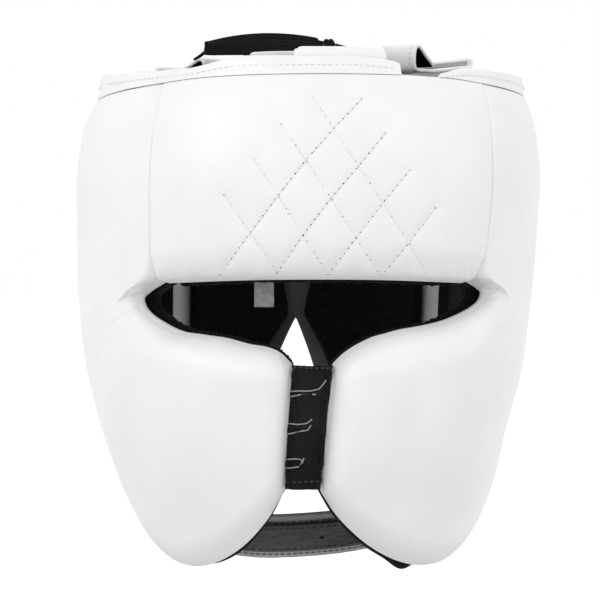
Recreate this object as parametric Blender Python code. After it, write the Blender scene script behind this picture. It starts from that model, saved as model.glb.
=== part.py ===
"""Boxing headgear with cheek guards: padded leather shell, black lining, crown lacing and a buckled chin strap.

Metres, +Z up. The wearer faces -Y, so the wearer's left side is at +X. The origin is where the top of the
head meets the underside of the crown tongue.
"""

import math
from collections import namedtuple

import bmesh
import bpy
from mathutils import Matrix, Vector

MM = 0.001

# Driving dimensions of the shell
SHELL_TOP = 5 * MM
SHELL_HEIGHT = 250 * MM
CAVITY_HALF_WIDTH = 80 * MM
CAVITY_FRONT = 95 * MM
CAVITY_REAR = 96 * MM
SIDE_THICKNESS = 36 * MM
FRONT_THICKNESS = 31 * MM
REAR_THICKNESS = 17 * MM
LINING_THICKNESS = 6 * MM
LEATHER_WALL = 3 * MM
GAP = 0.3 * MM
LINING_GAP = 0.97 * MM
OVAL_POWER = 0.83
TWIST = 5.5 * MM
EYE_FLARE = 11 * MM

# Outline of the pads
SEAM_AZIMUTH = 42.3
BROW_ARCH = 2.2 * MM
BROW_DROP = 111.1 * MM
CROWN_DROP = 12 * MM
EYE_CORNER_AZIMUTH = 54
EYE_CORNER_DROP = 120 * MM
EYE_RIM_RADIUS = 18 * MM
BROW_RIM_RADIUS = 17 * MM
FREE_EDGE_RADIUS = 14 * MM
TOP_EDGE_RADIUS = 12 * MM
SEAM_RADIUS = 3 * MM
LINING_EDGE_RADIUS = 4 * MM
EYE_LINING_MARGIN = 1.2 * MM
JAW_LINING_MARGIN = 0.4 * MM
JAW_TONGUE = 3.5 * MM
JAW_TONGUE_PLACE = 0.775
JAW_TONGUE_BREADTH = 0.035

# Rear wings
WING_FRONT_RIGHT = 133
WING_FRONT_LEFT = 124
REAR_LINING_INSET = 7
WING_TOP = -8 * MM
WING_BOTTOM = -186 * MM
NOTCH_APEX = -130.5 * MM
LACED_HALF_GAP = 3 * MM
APEX_HALF_GAP = 0.15 * MM
NOTCH_HALF_WIDTH = 21 * MM
LACING_STRIP = 7.5 * MM
LACE_HOLE_RADIUS = 2.2 * MM
LACE_ROWS = 4
APEX_PINCH = 0.5

# Links behind the ear
LINK_RISE = 9 * MM
EAR_GAP_TOP = -137 * MM
EAR_GAP_ARCH = 7 * MM
EAR_GAP_BOTTOM = -158 * MM

# Crown
CROWN_EDGE_TOP_FRONT = -4.6 * MM
TONGUE_WIDTH = 56 * MM
TONGUE_REACH = 42 * MM
TAB_LEFT_AZIMUTH = 12
TAB_RIGHT_AZIMUTH = -6
LOOP_WIDTH = 20 * MM
LOOP_TURN = 38
LACE_WIDTH = 6.5 * MM
LACE_THICKNESS = 1.3 * MM

# Mouth bridge
BRIDGE_TOP = -150.5 * MM
BRIDGE_BOTTOM = -208.5 * MM
BRIDGE_WALL = 2.6 * MM
BRIDGE_RISE = 19 * MM
BRIDGE_BULGE = 7 * MM
SLOT_WIDTH = 12 * MM

# Chin strap
STRAP_WIDTH = 30 * MM
STRAP_WALL = 3 * MM
STRAP_TILT = 45
STRAP_NARROWING = 3.6 * MM
TONGUE_STRAP_WIDTH = 19 * MM
TONGUE_STRAP_RISE = 2.2 * MM
TONGUE_STRAP_WALL = 2 * MM
STRAP_LOW = -237.5 * MM
STRAP_TOP = -172 * MM
STRAP_FORWARD = 34 * MM
STRAP_FLATNESS = 0.35
STRAP_ROLL = 4
HOLE_RADIUS = 2 * MM
HOLE_PITCH = 17.5 * MM
HOLES = 4
BUCKLE_LENGTH = 15 * MM
BUCKLE_WIDTH = 27 * MM
BUCKLE_WALL = 2.4 * MM
BUCKLE_BAR = 3 * MM

# Size label
LABEL_AZIMUTH = -14
LABEL_WIDTH = 9 * MM
LABEL_DROP = 11.5 * MM
LABEL_WALL = 0.5 * MM

WHITE = (0.90, 0.90, 0.89)
BLACK = (0.015, 0.015, 0.016)
STEEL = (0.6, 0.6, 0.62)
SIDES = (("left", 1), ("right", -1))

Level = namedtuple(
    "Level", "level cavity_width cavity_front cavity_rear side_pad front_pad rear_pad front_twist rear_twist lean")
# One row for each height. Level is a share of SHELL_HEIGHT below SHELL_TOP, and the others are shares of the
# cavity sizes, the pad thicknesses and TWIST. Lean moves the whole level to the wearer's left.
SHELL = (
    Level(0.00, 1.125, 0.885, 0.87, 0.47, 0.45, 0.85, 0.65, 0.0, 0.45),
    Level(0.08, 1.100, 0.926, 0.91, 0.57, 0.66, 0.90, 0.70, 0.0, 0.35),
    Level(0.18, 1.045, 0.979, 0.96, 0.86, 0.91, 1.00, 0.70, 0.0, 0.15),
    Level(0.30, 1.005, 1.000, 1.00, 1.01, 1.00, 1.00, 0.65, 0.0, 0.0),
    Level(0.46, 0.990, 0.985, 0.98, 0.99, 0.95, 1.00, 0.35, 0.1, -0.15),
    Level(0.62, 0.970, 0.965, 0.91, 0.93, 1.07, 1.00, -0.10, -0.1, -0.25),
    Level(0.77, 0.920, 0.926, 0.84, 0.79, 1.10, 0.95, -0.70, -0.6, -0.20),
    Level(0.90, 0.845, 0.863, 0.77, 0.70, 1.00, 0.90, -1.45, -0.8, 0.40),
    Level(1.00, 0.795, 0.800, 0.70, 0.68, 0.85, 0.90, -1.25, -0.8, 0.60),
)

Section = namedtuple("Section", "along front_azimuth front_level rear_azimuth rear_level rim seam left_lift")
# One row for each section of a side pad, from the crown round the eye to the mouth. Azimuths are degrees from
# the middle of the face, levels are shares of SHELL_HEIGHT, rim is a share of EYE_RIM_RADIUS and seam is 1
# where the front edge is sewn to the forehead pad. The wearer's left front edge lies higher by left_lift.
SIDE_SECTIONS = (
    Section(0.00, 42.3, 0.084, 105.0, 0.112, 0.15, 1.0, 0.000),
    Section(0.07, 42.3, 0.145, 106.0, 0.180, 0.15, 1.0, 0.000),
    Section(0.15, 42.3, 0.230, 107.0, 0.275, 0.15, 1.0, 0.000),
    Section(0.23, 42.3, 0.325, 107.0, 0.385, 0.15, 1.0, 0.000),
    Section(0.31, 42.4, 0.412, 106.0, 0.490, 0.18, 1.0, 0.000),
    Section(0.36, 43.4, 0.456, 105.0, 0.575, 0.40, 0.6, 0.003),
    Section(0.40, 47.6, 0.474, 103.0, 0.655, 0.50, 0.0, 0.010),
    Section(0.45, 51.2, 0.493, 99.5, 0.735, 0.55, 0.0, 0.013),
    Section(0.51, 48.6, 0.522, 92.0, 0.820, 0.68, 0.0, 0.017),
    Section(0.58, 39.5, 0.555, 79.0, 0.905, 0.90, 0.0, 0.021),
    Section(0.66, 30.0, 0.565, 62.5, 0.982, 1.10, 0.0, 0.017),
    Section(0.74, 22.5, 0.571, 45.5, 1.016, 1.15, 0.0, 0.016),
    Section(0.82, 15.5, 0.582, 30.5, 1.002, 1.05, 0.0, 0.016),
    Section(0.89, 10.2, 0.588, 18.0, 0.966, 0.85, 0.0, 0.007),
    Section(0.95, 6.6, 0.599, 9.0, 0.915, 0.70, 0.0, 0.001),
    Section(1.00, 3.9, 0.617, 3.7, 0.862, 0.55, 0.0, 0.000),
)

Rim = namedtuple("Rim", "azimuth pad_top edge_top_left edge_top_right")
# Heights of the crown rim round one side, as shares of CROWN_DROP below the origin, by azimuth. The wearer's
# left rim dips beside the front tab.
CROWN_RIM = (
    Rim(0.0, 1.00, 0.38, 0.38),
    Rim(18.0, 1.05, 0.45, 0.38),
    Rim(26.0, 1.10, 1.00, 0.58),
    Rim(32.0, 1.15, 0.86, 0.78),
    Rim(39.5, 1.25, 0.76, 0.86),
    Rim(55.0, 1.42, 0.84, 0.88),
    Rim(75.0, 1.62, 0.94, 0.80),
    Rim(90.0, 1.72, 0.92, 0.78),
    Rim(105.0, 1.80, 0.90, 0.80),
)

Edge = namedtuple("Edge", "radius wall seat")
# How a pad ends: its rounding, the share of the thickness left as a wall, and where that wall sits between
# the lining (0) and the leather face (1).
SEAM_EDGE = Edge(SEAM_RADIUS, 0.95, 0.5)
CROWN_EDGE = Edge(TOP_EDGE_RADIUS, 0.42, 0.78)
FREE_EDGE = Edge(FREE_EDGE_RADIUS, 0.2, 0.25)
LINING_EDGE = Edge(LINING_EDGE_RADIUS, 0.45, 0.5)

FINE = (0, 0.02, 0.06, 0.14, 0.26, 0.4, 0.55, 0.7, 0.83, 0.92, 0.98, 1)
EVEN = (0, 0.03, 0.09, 0.2, 0.35, 0.5, 0.65, 0.8, 0.91, 0.97, 1)
MIDDLING = (0, 0.05, 0.15, 0.32, 0.5, 0.68, 0.85, 0.95, 1)
COARSE = (0, 0.06, 0.3, 0.5, 0.7, 0.94, 1)
PAD_STATIONS = (0, 0.012, 0.04, 0.09, 0.16, 0.24, 0.31, 0.36, 0.4, 0.45, 0.505, 0.56, 0.61, 0.66, 0.71,
                0.76, 0.81, 0.86, 0.905, 0.945, 0.972, 0.989, 1)
LINING_STATIONS = (0, 0.04, 0.12, 0.24, 0.31, 0.36, 0.4, 0.45, 0.505, 0.56, 0.61, 0.66, 0.71, 0.76, 0.81, 0.905, 0.972, 1)
LINING_ACROSS = (0, 0.05, 0.17, 0.34, 0.52, 0.72, 0.94, 1)
APEX_SHARE = (WING_TOP - NOTCH_APEX) / (WING_TOP - WING_BOTTOM)
WING_STATIONS = (0, 0.05, 0.17, 0.33, 0.5, APEX_SHARE - 0.06, APEX_SHARE, APEX_SHARE + 0.07, 0.86, 0.95, 1)
WING_LINING_STATIONS = (0, 0.06, 0.3, 0.5, APEX_SHARE, 0.85, 1)
STRIP_STATIONS = tuple(share / 0.966 for share in WING_STATIONS[:-2]) + (1,)


def clear_scene():
    for obj in list(bpy.data.objects):
        bpy.data.objects.remove(obj)


def mix(a, b, share):
    return a + (b - a) * share


def read(table, column, at):
    """A column's value at a key, on a smooth curve through the rows. The key is the table's first column."""
    keys = [row[0] for row in table]
    values = [getattr(row, column) for row in table]
    if at <= keys[0] or at >= keys[-1]:
        low = 0 if at <= keys[0] else len(keys) - 2
        slope = (values[low + 1] - values[low]) / (keys[low + 1] - keys[low])
        return values[low] + slope * (at - keys[low])
    slopes = [(values[k + 1] - values[k]) / (keys[k + 1] - keys[k]) for k in range(len(keys) - 1)]
    tangents = [slopes[0]] + [(a + b) / 2 if a * b > 0 else 0.0 for a, b in zip(slopes, slopes[1:])] + [slopes[-1]]
    k = next(n for n in range(len(keys) - 1) if at <= keys[n + 1])
    span = keys[k + 1] - keys[k]
    s = (at - keys[k]) / span
    return ((2 * s**3 - 3 * s**2 + 1) * values[k] + (s**3 - 2 * s**2 + s) * span * tangents[k]
            + (3 * s**2 - 2 * s**3) * values[k + 1] + (s**3 - s**2) * span * tangents[k + 1])


def level_of(z):
    return (SHELL_TOP - z) / SHELL_HEIGHT


def height_of(level):
    return SHELL_TOP - level * SHELL_HEIGHT


def shell(azimuth, z, rise):
    """The point at an azimuth in degrees and a height, that far outside the head cavity."""
    level = level_of(z)
    across = math.sin(math.radians(azimuth))
    ahead = math.cos(math.radians(azimuth))
    width = CAVITY_HALF_WIDTH * read(SHELL, "cavity_width", level) + rise
    if ahead > 0:
        reach = CAVITY_FRONT * read(SHELL, "cavity_front", level) + rise
        twist = TWIST * read(SHELL, "front_twist", level)
    else:
        reach = CAVITY_REAR * read(SHELL, "cavity_rear", level) + rise
        twist = TWIST * read(SHELL, "rear_twist", level)
    lean = TWIST * read(SHELL, "lean", level)
    x = math.copysign(width * abs(across) ** OVAL_POWER, across) + twist * abs(ahead) + lean
    y = -math.copysign(reach * abs(ahead) ** OVAL_POWER, ahead)
    return Vector((x, y, z))


def azimuth_at(x, z, rise):
    """The azimuth behind the head at which the shell lies x to the side, without its twist."""
    width = CAVITY_HALF_WIDTH * read(SHELL, "cavity_width", level_of(z)) + rise
    return 180 - math.degrees(math.asin((x / width) ** (1 / OVAL_POWER)))


def face_thickness(azimuth, z):
    """Leather face of the front and side pads, as a rise above the cavity."""
    level = level_of(z)
    side = math.sin(math.radians(min(abs(azimuth), 90))) ** 2
    front = FRONT_THICKNESS * read(SHELL, "front_pad", level)
    return mix(front, SIDE_THICKNESS * read(SHELL, "side_pad", level), side)


def flare(azimuth, z):
    """How far the lining swings out to the corner of the eye opening."""
    off = ((abs(azimuth) - EYE_CORNER_AZIMUTH) / 17) ** 2 + ((z + EYE_CORNER_DROP) / (22 * MM)) ** 2
    return EYE_FLARE * math.exp(-off)


def face_pad(azimuth, z):
    return LINING_THICKNESS + LINING_GAP + flare(azimuth, z) * 1.12, face_thickness(azimuth, z)


def rear_pad(azimuth, z):
    return LINING_THICKNESS + LINING_GAP, REAR_THICKNESS * read(SHELL, "rear_pad", level_of(z))


def lining(azimuth, z):
    out = flare(azimuth, z)
    return out, out + LINING_THICKNESS


def paint(obj, color, roughness, metallic=0.0):
    material = bpy.data.materials.new(obj.name)
    material.use_nodes = True
    shader = material.node_tree.nodes["Principled BSDF"]
    shader.inputs["Base Color"].default_value = (*color, 1)
    shader.inputs["Roughness"].default_value = roughness
    shader.inputs["Metallic"].default_value = metallic
    obj.data.materials.append(material)


def finish_mesh(name, bm, color, roughness, metallic=0.0):
    bmesh.ops.recalc_face_normals(bm, faces=bm.faces)
    mesh = bpy.data.meshes.new(name)
    bm.to_mesh(mesh)
    bm.free()
    mesh.shade_smooth()
    mesh.set_sharp_from_angle(angle=math.radians(50))
    obj = bpy.data.objects.new(name, mesh)
    parts.objects.link(obj)
    paint(obj, color, roughness, metallic)
    return obj


def perimeter(rows, columns):
    """Grid indices once round the edge of a sheet."""
    return ([(i, 0) for i in range(rows)] + [(rows - 1, j) for j in range(1, columns)]
            + [(i, columns - 1) for i in range(rows - 2, -1, -1)] + [(0, j) for j in range(columns - 2, 0, -1)])


def closed_sheet(name, outer, inner, color, roughness, wall_shares=()):
    """A closed solid between two grids of points, with its rim divided at the given shares of its width."""
    bm = bmesh.new()
    sheets = [[[bm.verts.new(p) for p in row] for row in sheet] for sheet in (outer, inner)]
    for sheet in sheets:
        for i in range(len(sheet) - 1):
            for j in range(len(sheet[0]) - 1):
                bm.faces.new((sheet[i][j], sheet[i + 1][j], sheet[i + 1][j + 1], sheet[i][j + 1]))
    around = perimeter(len(outer), len(outer[0]))
    rings = [[sheets[0][i][j] for i, j in around]]
    for share in wall_shares:
        rings.append([bm.verts.new(outer[i][j].lerp(inner[i][j], share)) for i, j in around])
    rings.append([sheets[1][i][j] for i, j in around])
    for upper, lower in zip(rings, rings[1:]):
        for k in range(len(around)):
            n = (k + 1) % len(around)
            bm.faces.new((upper[k], upper[n], lower[n], lower[k]))
    return finish_mesh(name, bm, color, roughness)


def running_lengths(points):
    lengths = [0.0]
    for a, b in zip(points, points[1:]):
        lengths.append(lengths[-1] + (b - a).length)
    return lengths


def edge_share(distance, edge):
    """The share of a pad's thickness that is left at a distance from an edge."""
    inside = min(distance / edge.radius, 1.0)
    return edge.wall + (1 - edge.wall) * math.sqrt(1 - (1 - inside) ** 2)


def pad(name, place, faces, edges, stations, across, color, roughness):
    """A padded solid on the shell. place(u, v) gives an azimuth and a height, faces() the rises of its two
    faces there, and edges the edge at u = 0, u = 1, v = 0 and v = 1, each as a function of u and v."""
    spots = [[place(u, v) for v in across] for u in stations]
    middle = [[shell(a, z, sum(faces(a, z)) / 2) for a, z in row] for row in spots]
    along_v = [running_lengths(row) for row in middle]
    along_u = [running_lengths(column) for column in zip(*middle)]
    outer, inner = [], []
    for i, u in enumerate(stations):
        outer.append([])
        inner.append([])
        for j, v in enumerate(across):
            distances = (along_u[j][i], along_u[j][-1] - along_u[j][i], along_v[i][j], along_v[i][-1] - along_v[i][j])
            ends = [edge(u, v) for edge in edges]
            shares = [edge_share(d, e) for d, e in zip(distances, ends)]
            share = math.prod(shares)
            weights = [1.0001 - s for s in shares]
            seat = sum(w * e.seat for w, e in zip(weights, ends)) / sum(weights)
            low, high = faces(*spots[i][j])
            middle_rise = mix(low, high, seat)
            outer[-1].append(shell(*spots[i][j], mix(middle_rise, high, share)))
            inner[-1].append(shell(*spots[i][j], mix(middle_rise, low, share)))
    return closed_sheet(name, outer, inner, color, roughness, wall_shares=(0.15, 0.85))


def always(edge):
    return lambda u, v: edge


def seam_gap(azimuth):
    """Half of the gap at a sewn seam, as degrees at the pad's face."""
    return math.degrees(GAP / 2 / (CAVITY_FRONT + FRONT_THICKNESS / 2)) * 1.6


def forehead_place(margin_down=0.0, margin_side=0.0):
    def place(u, v):
        half = SEAM_AZIMUTH - seam_gap(SEAM_AZIMUTH) + margin_side
        azimuth = mix(-half, half, u)
        top = -CROWN_DROP * read(CROWN_RIM, "pad_top", abs(azimuth))
        arch = BROW_ARCH * math.cos(math.radians(azimuth) * 2)
        bottom = -BROW_DROP + arch - margin_down
        return azimuth, mix(top, bottom, v)
    return place


def side_place(sign, eye_margin=0.0, jaw_margin=0.0):
    """Sections of a side pad, lengthened at the eye rim and at the jaw by the margins. The lining of the wearer's
    left jaw also shows a tongue."""
    def place(u, v):
        gap = seam_gap(SEAM_AZIMUTH) * read(SIDE_SECTIONS, "seam", u)
        lift = read(SIDE_SECTIONS, "left_lift", u) * (1 + sign) / 2
        front = (read(SIDE_SECTIONS, "front_azimuth", u) + gap, height_of(read(SIDE_SECTIONS, "front_level", u) - lift))
        rear = (read(SIDE_SECTIONS, "rear_azimuth", u), height_of(read(SIDE_SECTIONS, "rear_level", u)))
        length = (shell(*rear, LINING_THICKNESS) - shell(*front, LINING_THICKNESS)).length
        low = -eye_margin * (1 - read(SIDE_SECTIONS, "seam", u)) / length
        tongue = 0.0
        if sign > 0 and jaw_margin:
            tongue = JAW_TONGUE * math.exp(-((u - JAW_TONGUE_PLACE) / JAW_TONGUE_BREADTH) ** 2)
        high = 1 + (jaw_margin + tongue) / length
        share = mix(low, high, v)
        return sign * mix(front[0], rear[0], share), mix(front[1], rear[1], share)
    return place


def side_front_edge(u, v):
    seam = max(0.0, min(1.0, read(SIDE_SECTIONS, "seam", u)))
    radius = EYE_RIM_RADIUS * read(SIDE_SECTIONS, "rim", u)
    return Edge(radius, mix(0.2, SEAM_EDGE.wall, seam), mix(0.2, SEAM_EDGE.seat, seam))


def make_forehead():
    brow = Edge(BROW_RIM_RADIUS, 0.2, 0.2)
    pad("forehead_pad", forehead_place(), face_pad,
        (always(SEAM_EDGE), always(SEAM_EDGE), always(CROWN_EDGE), always(brow)),
        EVEN, EVEN, WHITE, 0.4)
    pad("forehead_lining", forehead_place(EYE_LINING_MARGIN), lining,
        (always(SEAM_EDGE), always(SEAM_EDGE), always(LINING_EDGE), always(LINING_EDGE)),
        MIDDLING, COARSE, BLACK, 0.7)


def make_side(side, sign):
    mouth_end = Edge(FREE_EDGE_RADIUS * 0.8, 0.3, 0.4)
    pad(f"side_pad_{side}", side_place(sign), face_pad,
        (always(CROWN_EDGE), always(mouth_end), side_front_edge, always(FREE_EDGE)),
        PAD_STATIONS, FINE, WHITE, 0.4)
    pad(f"side_lining_{side}", side_place(sign, EYE_LINING_MARGIN, JAW_LINING_MARGIN), lining,
        (always(LINING_EDGE), always(LINING_EDGE), always(LINING_EDGE), always(LINING_EDGE)),
        LINING_STATIONS, LINING_ACROSS, BLACK, 0.7)


def notch_half_gap(z):
    """Half the opening between the rear wings: laced at the top, an upturned V below."""
    if z >= NOTCH_APEX:
        return mix(APEX_HALF_GAP, LACED_HALF_GAP, min(1.0, (z - NOTCH_APEX) / -NOTCH_APEX))
    opened = (NOTCH_APEX - z) / (NOTCH_APEX - WING_BOTTOM)
    return mix(APEX_HALF_GAP, NOTCH_HALF_WIDTH, opened ** 0.85)


def strip_width(z):
    """Width of the lacing strip, pinched at the top of the notch."""
    return LACING_STRIP * (1 - APEX_PINCH * math.exp(-((z - NOTCH_APEX) / (16 * MM)) ** 2))


def wing_front(sign):
    return WING_FRONT_LEFT if sign > 0 else WING_FRONT_RIGHT


def wing_place(sign, top, bottom, front_margin, notch_margin):
    """A rear wing from its front edge to a line that far from the notch."""
    def place(u, v):
        z = mix(top, bottom, v)
        rear = azimuth_at(notch_half_gap(z) + strip_width(z) + notch_margin, z, LINING_THICKNESS)
        return sign * mix(wing_front(sign) + front_margin, rear, u), z
    return place


def make_wing(side, sign):
    wing_edge = Edge(5 * MM, 0.75, 0.45)
    bottom_edge = Edge(10 * MM, 0.4, 0.35)
    pad(f"rear_pad_{side}", wing_place(sign, WING_TOP, WING_BOTTOM, 0, 5 * GAP), rear_pad,
        (always(wing_edge), always(wing_edge), always(CROWN_EDGE), always(bottom_edge)),
        COARSE, WING_STATIONS, WHITE, 0.4)
    pad(f"rear_lining_{side}", wing_place(sign, WING_TOP, WING_BOTTOM, REAR_LINING_INSET, 4 * GAP), lining,
        (always(LINING_EDGE), always(LINING_EDGE), always(LINING_EDGE), always(LINING_EDGE)),
        COARSE, WING_LINING_STATIONS, BLACK, 0.7)


def wall(name, place, rise, stations, across, color, roughness, thickness=LEATHER_WALL):
    """A flat leather wall on the shell. place(u, v) gives an azimuth and a height."""
    spots = [[place(u, v) for v in across] for u in stations]
    faces = [[[shell(a, z, rise(a, z) + side * thickness / 2) for a, z in row] for row in spots] for side in (1, -1)]
    return closed_sheet(name, faces[0], faces[1], color, roughness)


def join_cutters(name, target, shapes):
    """Cuts the target with all the shapes, which are kept as hidden guides."""
    for n, cutter in enumerate(shapes):
        cutter.name = f"{name}_{n}"
        cutter.hide_render = True
        cutter.display_type = "WIRE"
        for collection in list(cutter.users_collection):
            collection.objects.unlink(cutter)
        cutters.objects.link(cutter)
        cut = target.modifiers.new(f"cut_{n}", "BOOLEAN")
        cut.operation = "DIFFERENCE"
        cut.object = cutter


def rod(center, axis, radius, length, sides=12):
    bpy.ops.mesh.primitive_cylinder_add(vertices=sides, radius=radius, depth=length, location=center)
    made = bpy.context.object
    made.rotation_mode = "QUATERNION"
    made.rotation_quaternion = Vector(axis).to_track_quat("Z", "Y")
    return made


def lace_hole_heights():
    return [NOTCH_APEX * mix(0.13, 0.77, row / (LACE_ROWS - 1)) for row in range(LACE_ROWS)]


def strip_rise(azimuth, z):
    return LINING_THICKNESS + LEATHER_WALL / 2 + 1.5 * MM


def lace_hole_azimuth(z):
    return azimuth_at(notch_half_gap(z) + strip_width(z) / 2, z, LINING_THICKNESS)


def make_lacing_strip(side, sign):
    def place(u, v):
        z = mix(WING_TOP, WING_BOTTOM + 6 * MM, v)
        margin = strip_width(z) * u
        return sign * azimuth_at(notch_half_gap(z) + margin, z, LINING_THICKNESS), z
    strip = wall(f"lacing_strip_{side}", place, strip_rise, (0, 0.5, 1), STRIP_STATIONS, WHITE, 0.45)
    holes = []
    for z in lace_hole_heights():
        azimuth = sign * lace_hole_azimuth(z)
        center = shell(azimuth, z, strip_rise(azimuth, z))
        outward = shell(azimuth, z, 30 * MM) - shell(azimuth, z, 0)
        holes.append(rod(center, outward, LACE_HOLE_RADIUS, 4 * LEATHER_WALL, 10))
    join_cutters(f"lace_hole_{side}", strip, holes)


def make_links(side, sign):
    """Black leather behind the ear, and a white link below the ear gap."""
    def rise(azimuth, z):
        return LINK_RISE

    def rear_of_side_pad(z):
        shares = [n / 60 for n in range(10, 36)]
        nearest = min(shares, key=lambda u: abs(height_of(read(SIDE_SECTIONS, "rear_level", u)) - z))
        return read(SIDE_SECTIONS, "rear_azimuth", nearest)

    def behind_ear(u, v):
        arch = EAR_GAP_ARCH * math.sin(math.pi * u)
        z = mix(WING_TOP - 14 * MM, EAR_GAP_TOP + arch, v)
        front = rear_of_side_pad(max(z, height_of(0.60))) + 0.5
        return sign * mix(front, wing_front(sign) - 0.35, u), z

    def below_ear(u, v):
        dip = 3 * MM * math.sin(math.pi * u)
        z = mix(EAR_GAP_BOTTOM - dip, WING_BOTTOM + 5 * MM + dip, v)
        front = rear_of_side_pad(z) + 0.5
        return sign * mix(front, wing_front(sign) - 0.35, u), z

    wall(f"ear_link_{side}", behind_ear, rise, COARSE, (0, 0.5, 1), BLACK, 0.6)
    wall(f"neck_link_{side}", below_ear, rise, COARSE, (0, 0.5, 1), WHITE, 0.45)


def crown_rise(azimuth, z):
    low, high = face_pad(azimuth, z)
    return mix(low, high, CROWN_EDGE.seat)


def rim_place(sign, first, last, column):
    def place(u, v):
        azimuth = mix(first, last, u)
        low = -CROWN_DROP * read(CROWN_RIM, "pad_top", abs(azimuth)) + GAP
        high = -CROWN_DROP * read(CROWN_RIM, column, abs(azimuth))
        rounding = min(1.0, math.sqrt(max(0.0, min(u, 1 - u)) * 12))
        return sign * azimuth, mix(low, mix(mix(low, high, 0.45), high, rounding), v)
    return place


def make_crown_edges():
    thirds = [n / 20 for n in range(21)]
    wall("crown_edge_front", rim_place(-1, -15, 104.5, "edge_top_right"), crown_rise, thirds, (0, 0.5, 1), WHITE, 0.45)
    wall("crown_edge_left", rim_place(1, 27, 104.5, "edge_top_left"), crown_rise, FINE, (0, 0.5, 1), WHITE, 0.45)
    for side, sign in SIDES:
        def place(u, v, sign=sign):
            outer_end = mix(0.5, 5, (sign + 1) / 2) * MM
            z = mix(WING_TOP + GAP, mix(outer_end, 2 * MM, u), v)
            rear = azimuth_at(LACED_HALF_GAP + 1 * MM, z, LINING_THICKNESS)
            return sign * mix(wing_front(sign) + 1, rear, u), z

        def rise(azimuth, z):
            low, high = rear_pad(azimuth, WING_TOP)
            return mix(low, high, CROWN_EDGE.seat)
        wall(f"crown_edge_rear_{side}", place, rise, COARSE, (0, 0.5, 1), WHITE, 0.45)


def ribbon(name, path, across, width, thickness, color, roughness, shares=(-0.5, 0, 0.5)):
    """A flat strap along a path. across is the direction of its width, or a function of the step."""
    outer, inner = [], []
    for n, point in enumerate(path):
        ahead = (path[min(n + 1, len(path) - 1)] - path[max(n - 1, 0)]).normalized()
        side = (across(n) if callable(across) else across).normalized()
        normal = ahead.cross(side).normalized()
        side = normal.cross(ahead).normalized()
        breadth = width(n) if callable(width) else width
        outer.append([point + side * breadth * s + normal * thickness / 2 for s in shares])
        inner.append([point + side * breadth * s - normal * thickness / 2 for s in shares])
    return closed_sheet(name, outer, inner, color, roughness)


def smooth_path(points, steps):
    """Points on a smooth curve through the given ones."""
    path = []
    padded = [points[0] * 2 - points[1], *points, points[-1] * 2 - points[-2]]
    for a, b, c, d in zip(padded, padded[1:], padded[2:], padded[3:]):
        for n in range(steps):
            t = n / steps
            path.append(0.5 * (2 * b + (c - a) * t + (2 * a - 5 * b + 4 * c - d) * t**2 + (3 * b - a - 3 * c + d) * t**3))
    path.append(points[-1])
    return path


def make_crown_tongue():
    """The strap from the rear wings over the crown, whose underside meets the head at the origin."""
    seat = -16 * MM
    rear = shell(azimuth_at(TONGUE_WIDTH / 2, seat, 0), seat, 0).y - LEATHER_WALL / 2 - 2.5 * GAP
    middle = LEATHER_WALL / 2
    points = [Vector((0, y, z)) for y, z in (
        (rear, seat), (rear, -6 * MM), (rear * 0.94, middle - 1 * MM), (rear * 0.6, middle),
        (0, middle), (-TONGUE_REACH * 0.6, middle), (-TONGUE_REACH, middle))]
    path = smooth_path(points, 3)

    def breadth(n):
        left = (path[n] - path[-1]).length
        corner = TONGUE_WIDTH / 4
        return TONGUE_WIDTH * mix(0.5, 1.0, math.sqrt(1 - (1 - min(1, left / corner)) ** 2))
    ribbon("crown_tongue", path, Vector((1, 0, 0)), breadth, LEATHER_WALL, WHITE, 0.45)


TabFold = namedtuple("TabFold", "inward height")
# The front tab's middle line, as millimetres behind the crown edge and above the origin.
TAB_FOLDS = (
    TabFold(0.0, -11.2), TabFold(0.0, -6.0), TabFold(0.5, -2.4), TabFold(2.4, 0.3), TabFold(6.0, 0.8),
    TabFold(10.0, -0.6), TabFold(11.2, -2.8), TabFold(8.2, -4.6), TabFold(4.4, -5.6), TabFold(3.2, -9.5),
)


def make_crown_tab():
    """The folded tab behind the middle of the front rim."""
    path = smooth_path([Vector((0, fold.inward, fold.height)) for fold in TAB_FOLDS], 2)
    outer, inner = [], []
    for n, point in enumerate(path):
        ahead = (path[min(n + 1, len(path) - 1)] - path[max(n - 1, 0)]).normalized()
        normal = ahead.cross(Vector((1, 0, 0)))
        rows = []
        for side in (1, -1):
            spot = (point + normal * side) * MM
            azimuths = [mix(TAB_RIGHT_AZIMUTH, TAB_LEFT_AZIMUTH, share) for share in (0, 0.25, 0.5, 0.75, 1)]
            low = min(spot.z, CROWN_EDGE_TOP_FRONT)
            inward = LEATHER_WALL / 2 + GAP + 1 * MM + spot.y
            rows.append([shell(a, low, crown_rise(a, low) - inward) + Vector((0, 0, spot.z - low)) for a in azimuths])
        outer.append(rows[0])
        inner.append(rows[1])
    closed_sheet("crown_tab", outer, inner, WHITE, 0.45)


Fold = namedtuple("Fold", "back height")
# The crown loop from its sewn end to its folded one: shares of the loop's length back from its front bend,
# and of its height above the lower layer.
LOOP_FOLD = (
    Fold(3.2, 0.30), Fold(2.2, 0.18), Fold(1.1, 0.02), Fold(0.6, 0.0), Fold(0.12, 0.0), Fold(0.0, 0.12),
    Fold(-0.03, 0.45), Fold(0.02, 0.80), Fold(0.14, 0.98), Fold(0.30, 0.92), Fold(0.62, 0.60), Fold(1.02, 0.24),
)


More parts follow.
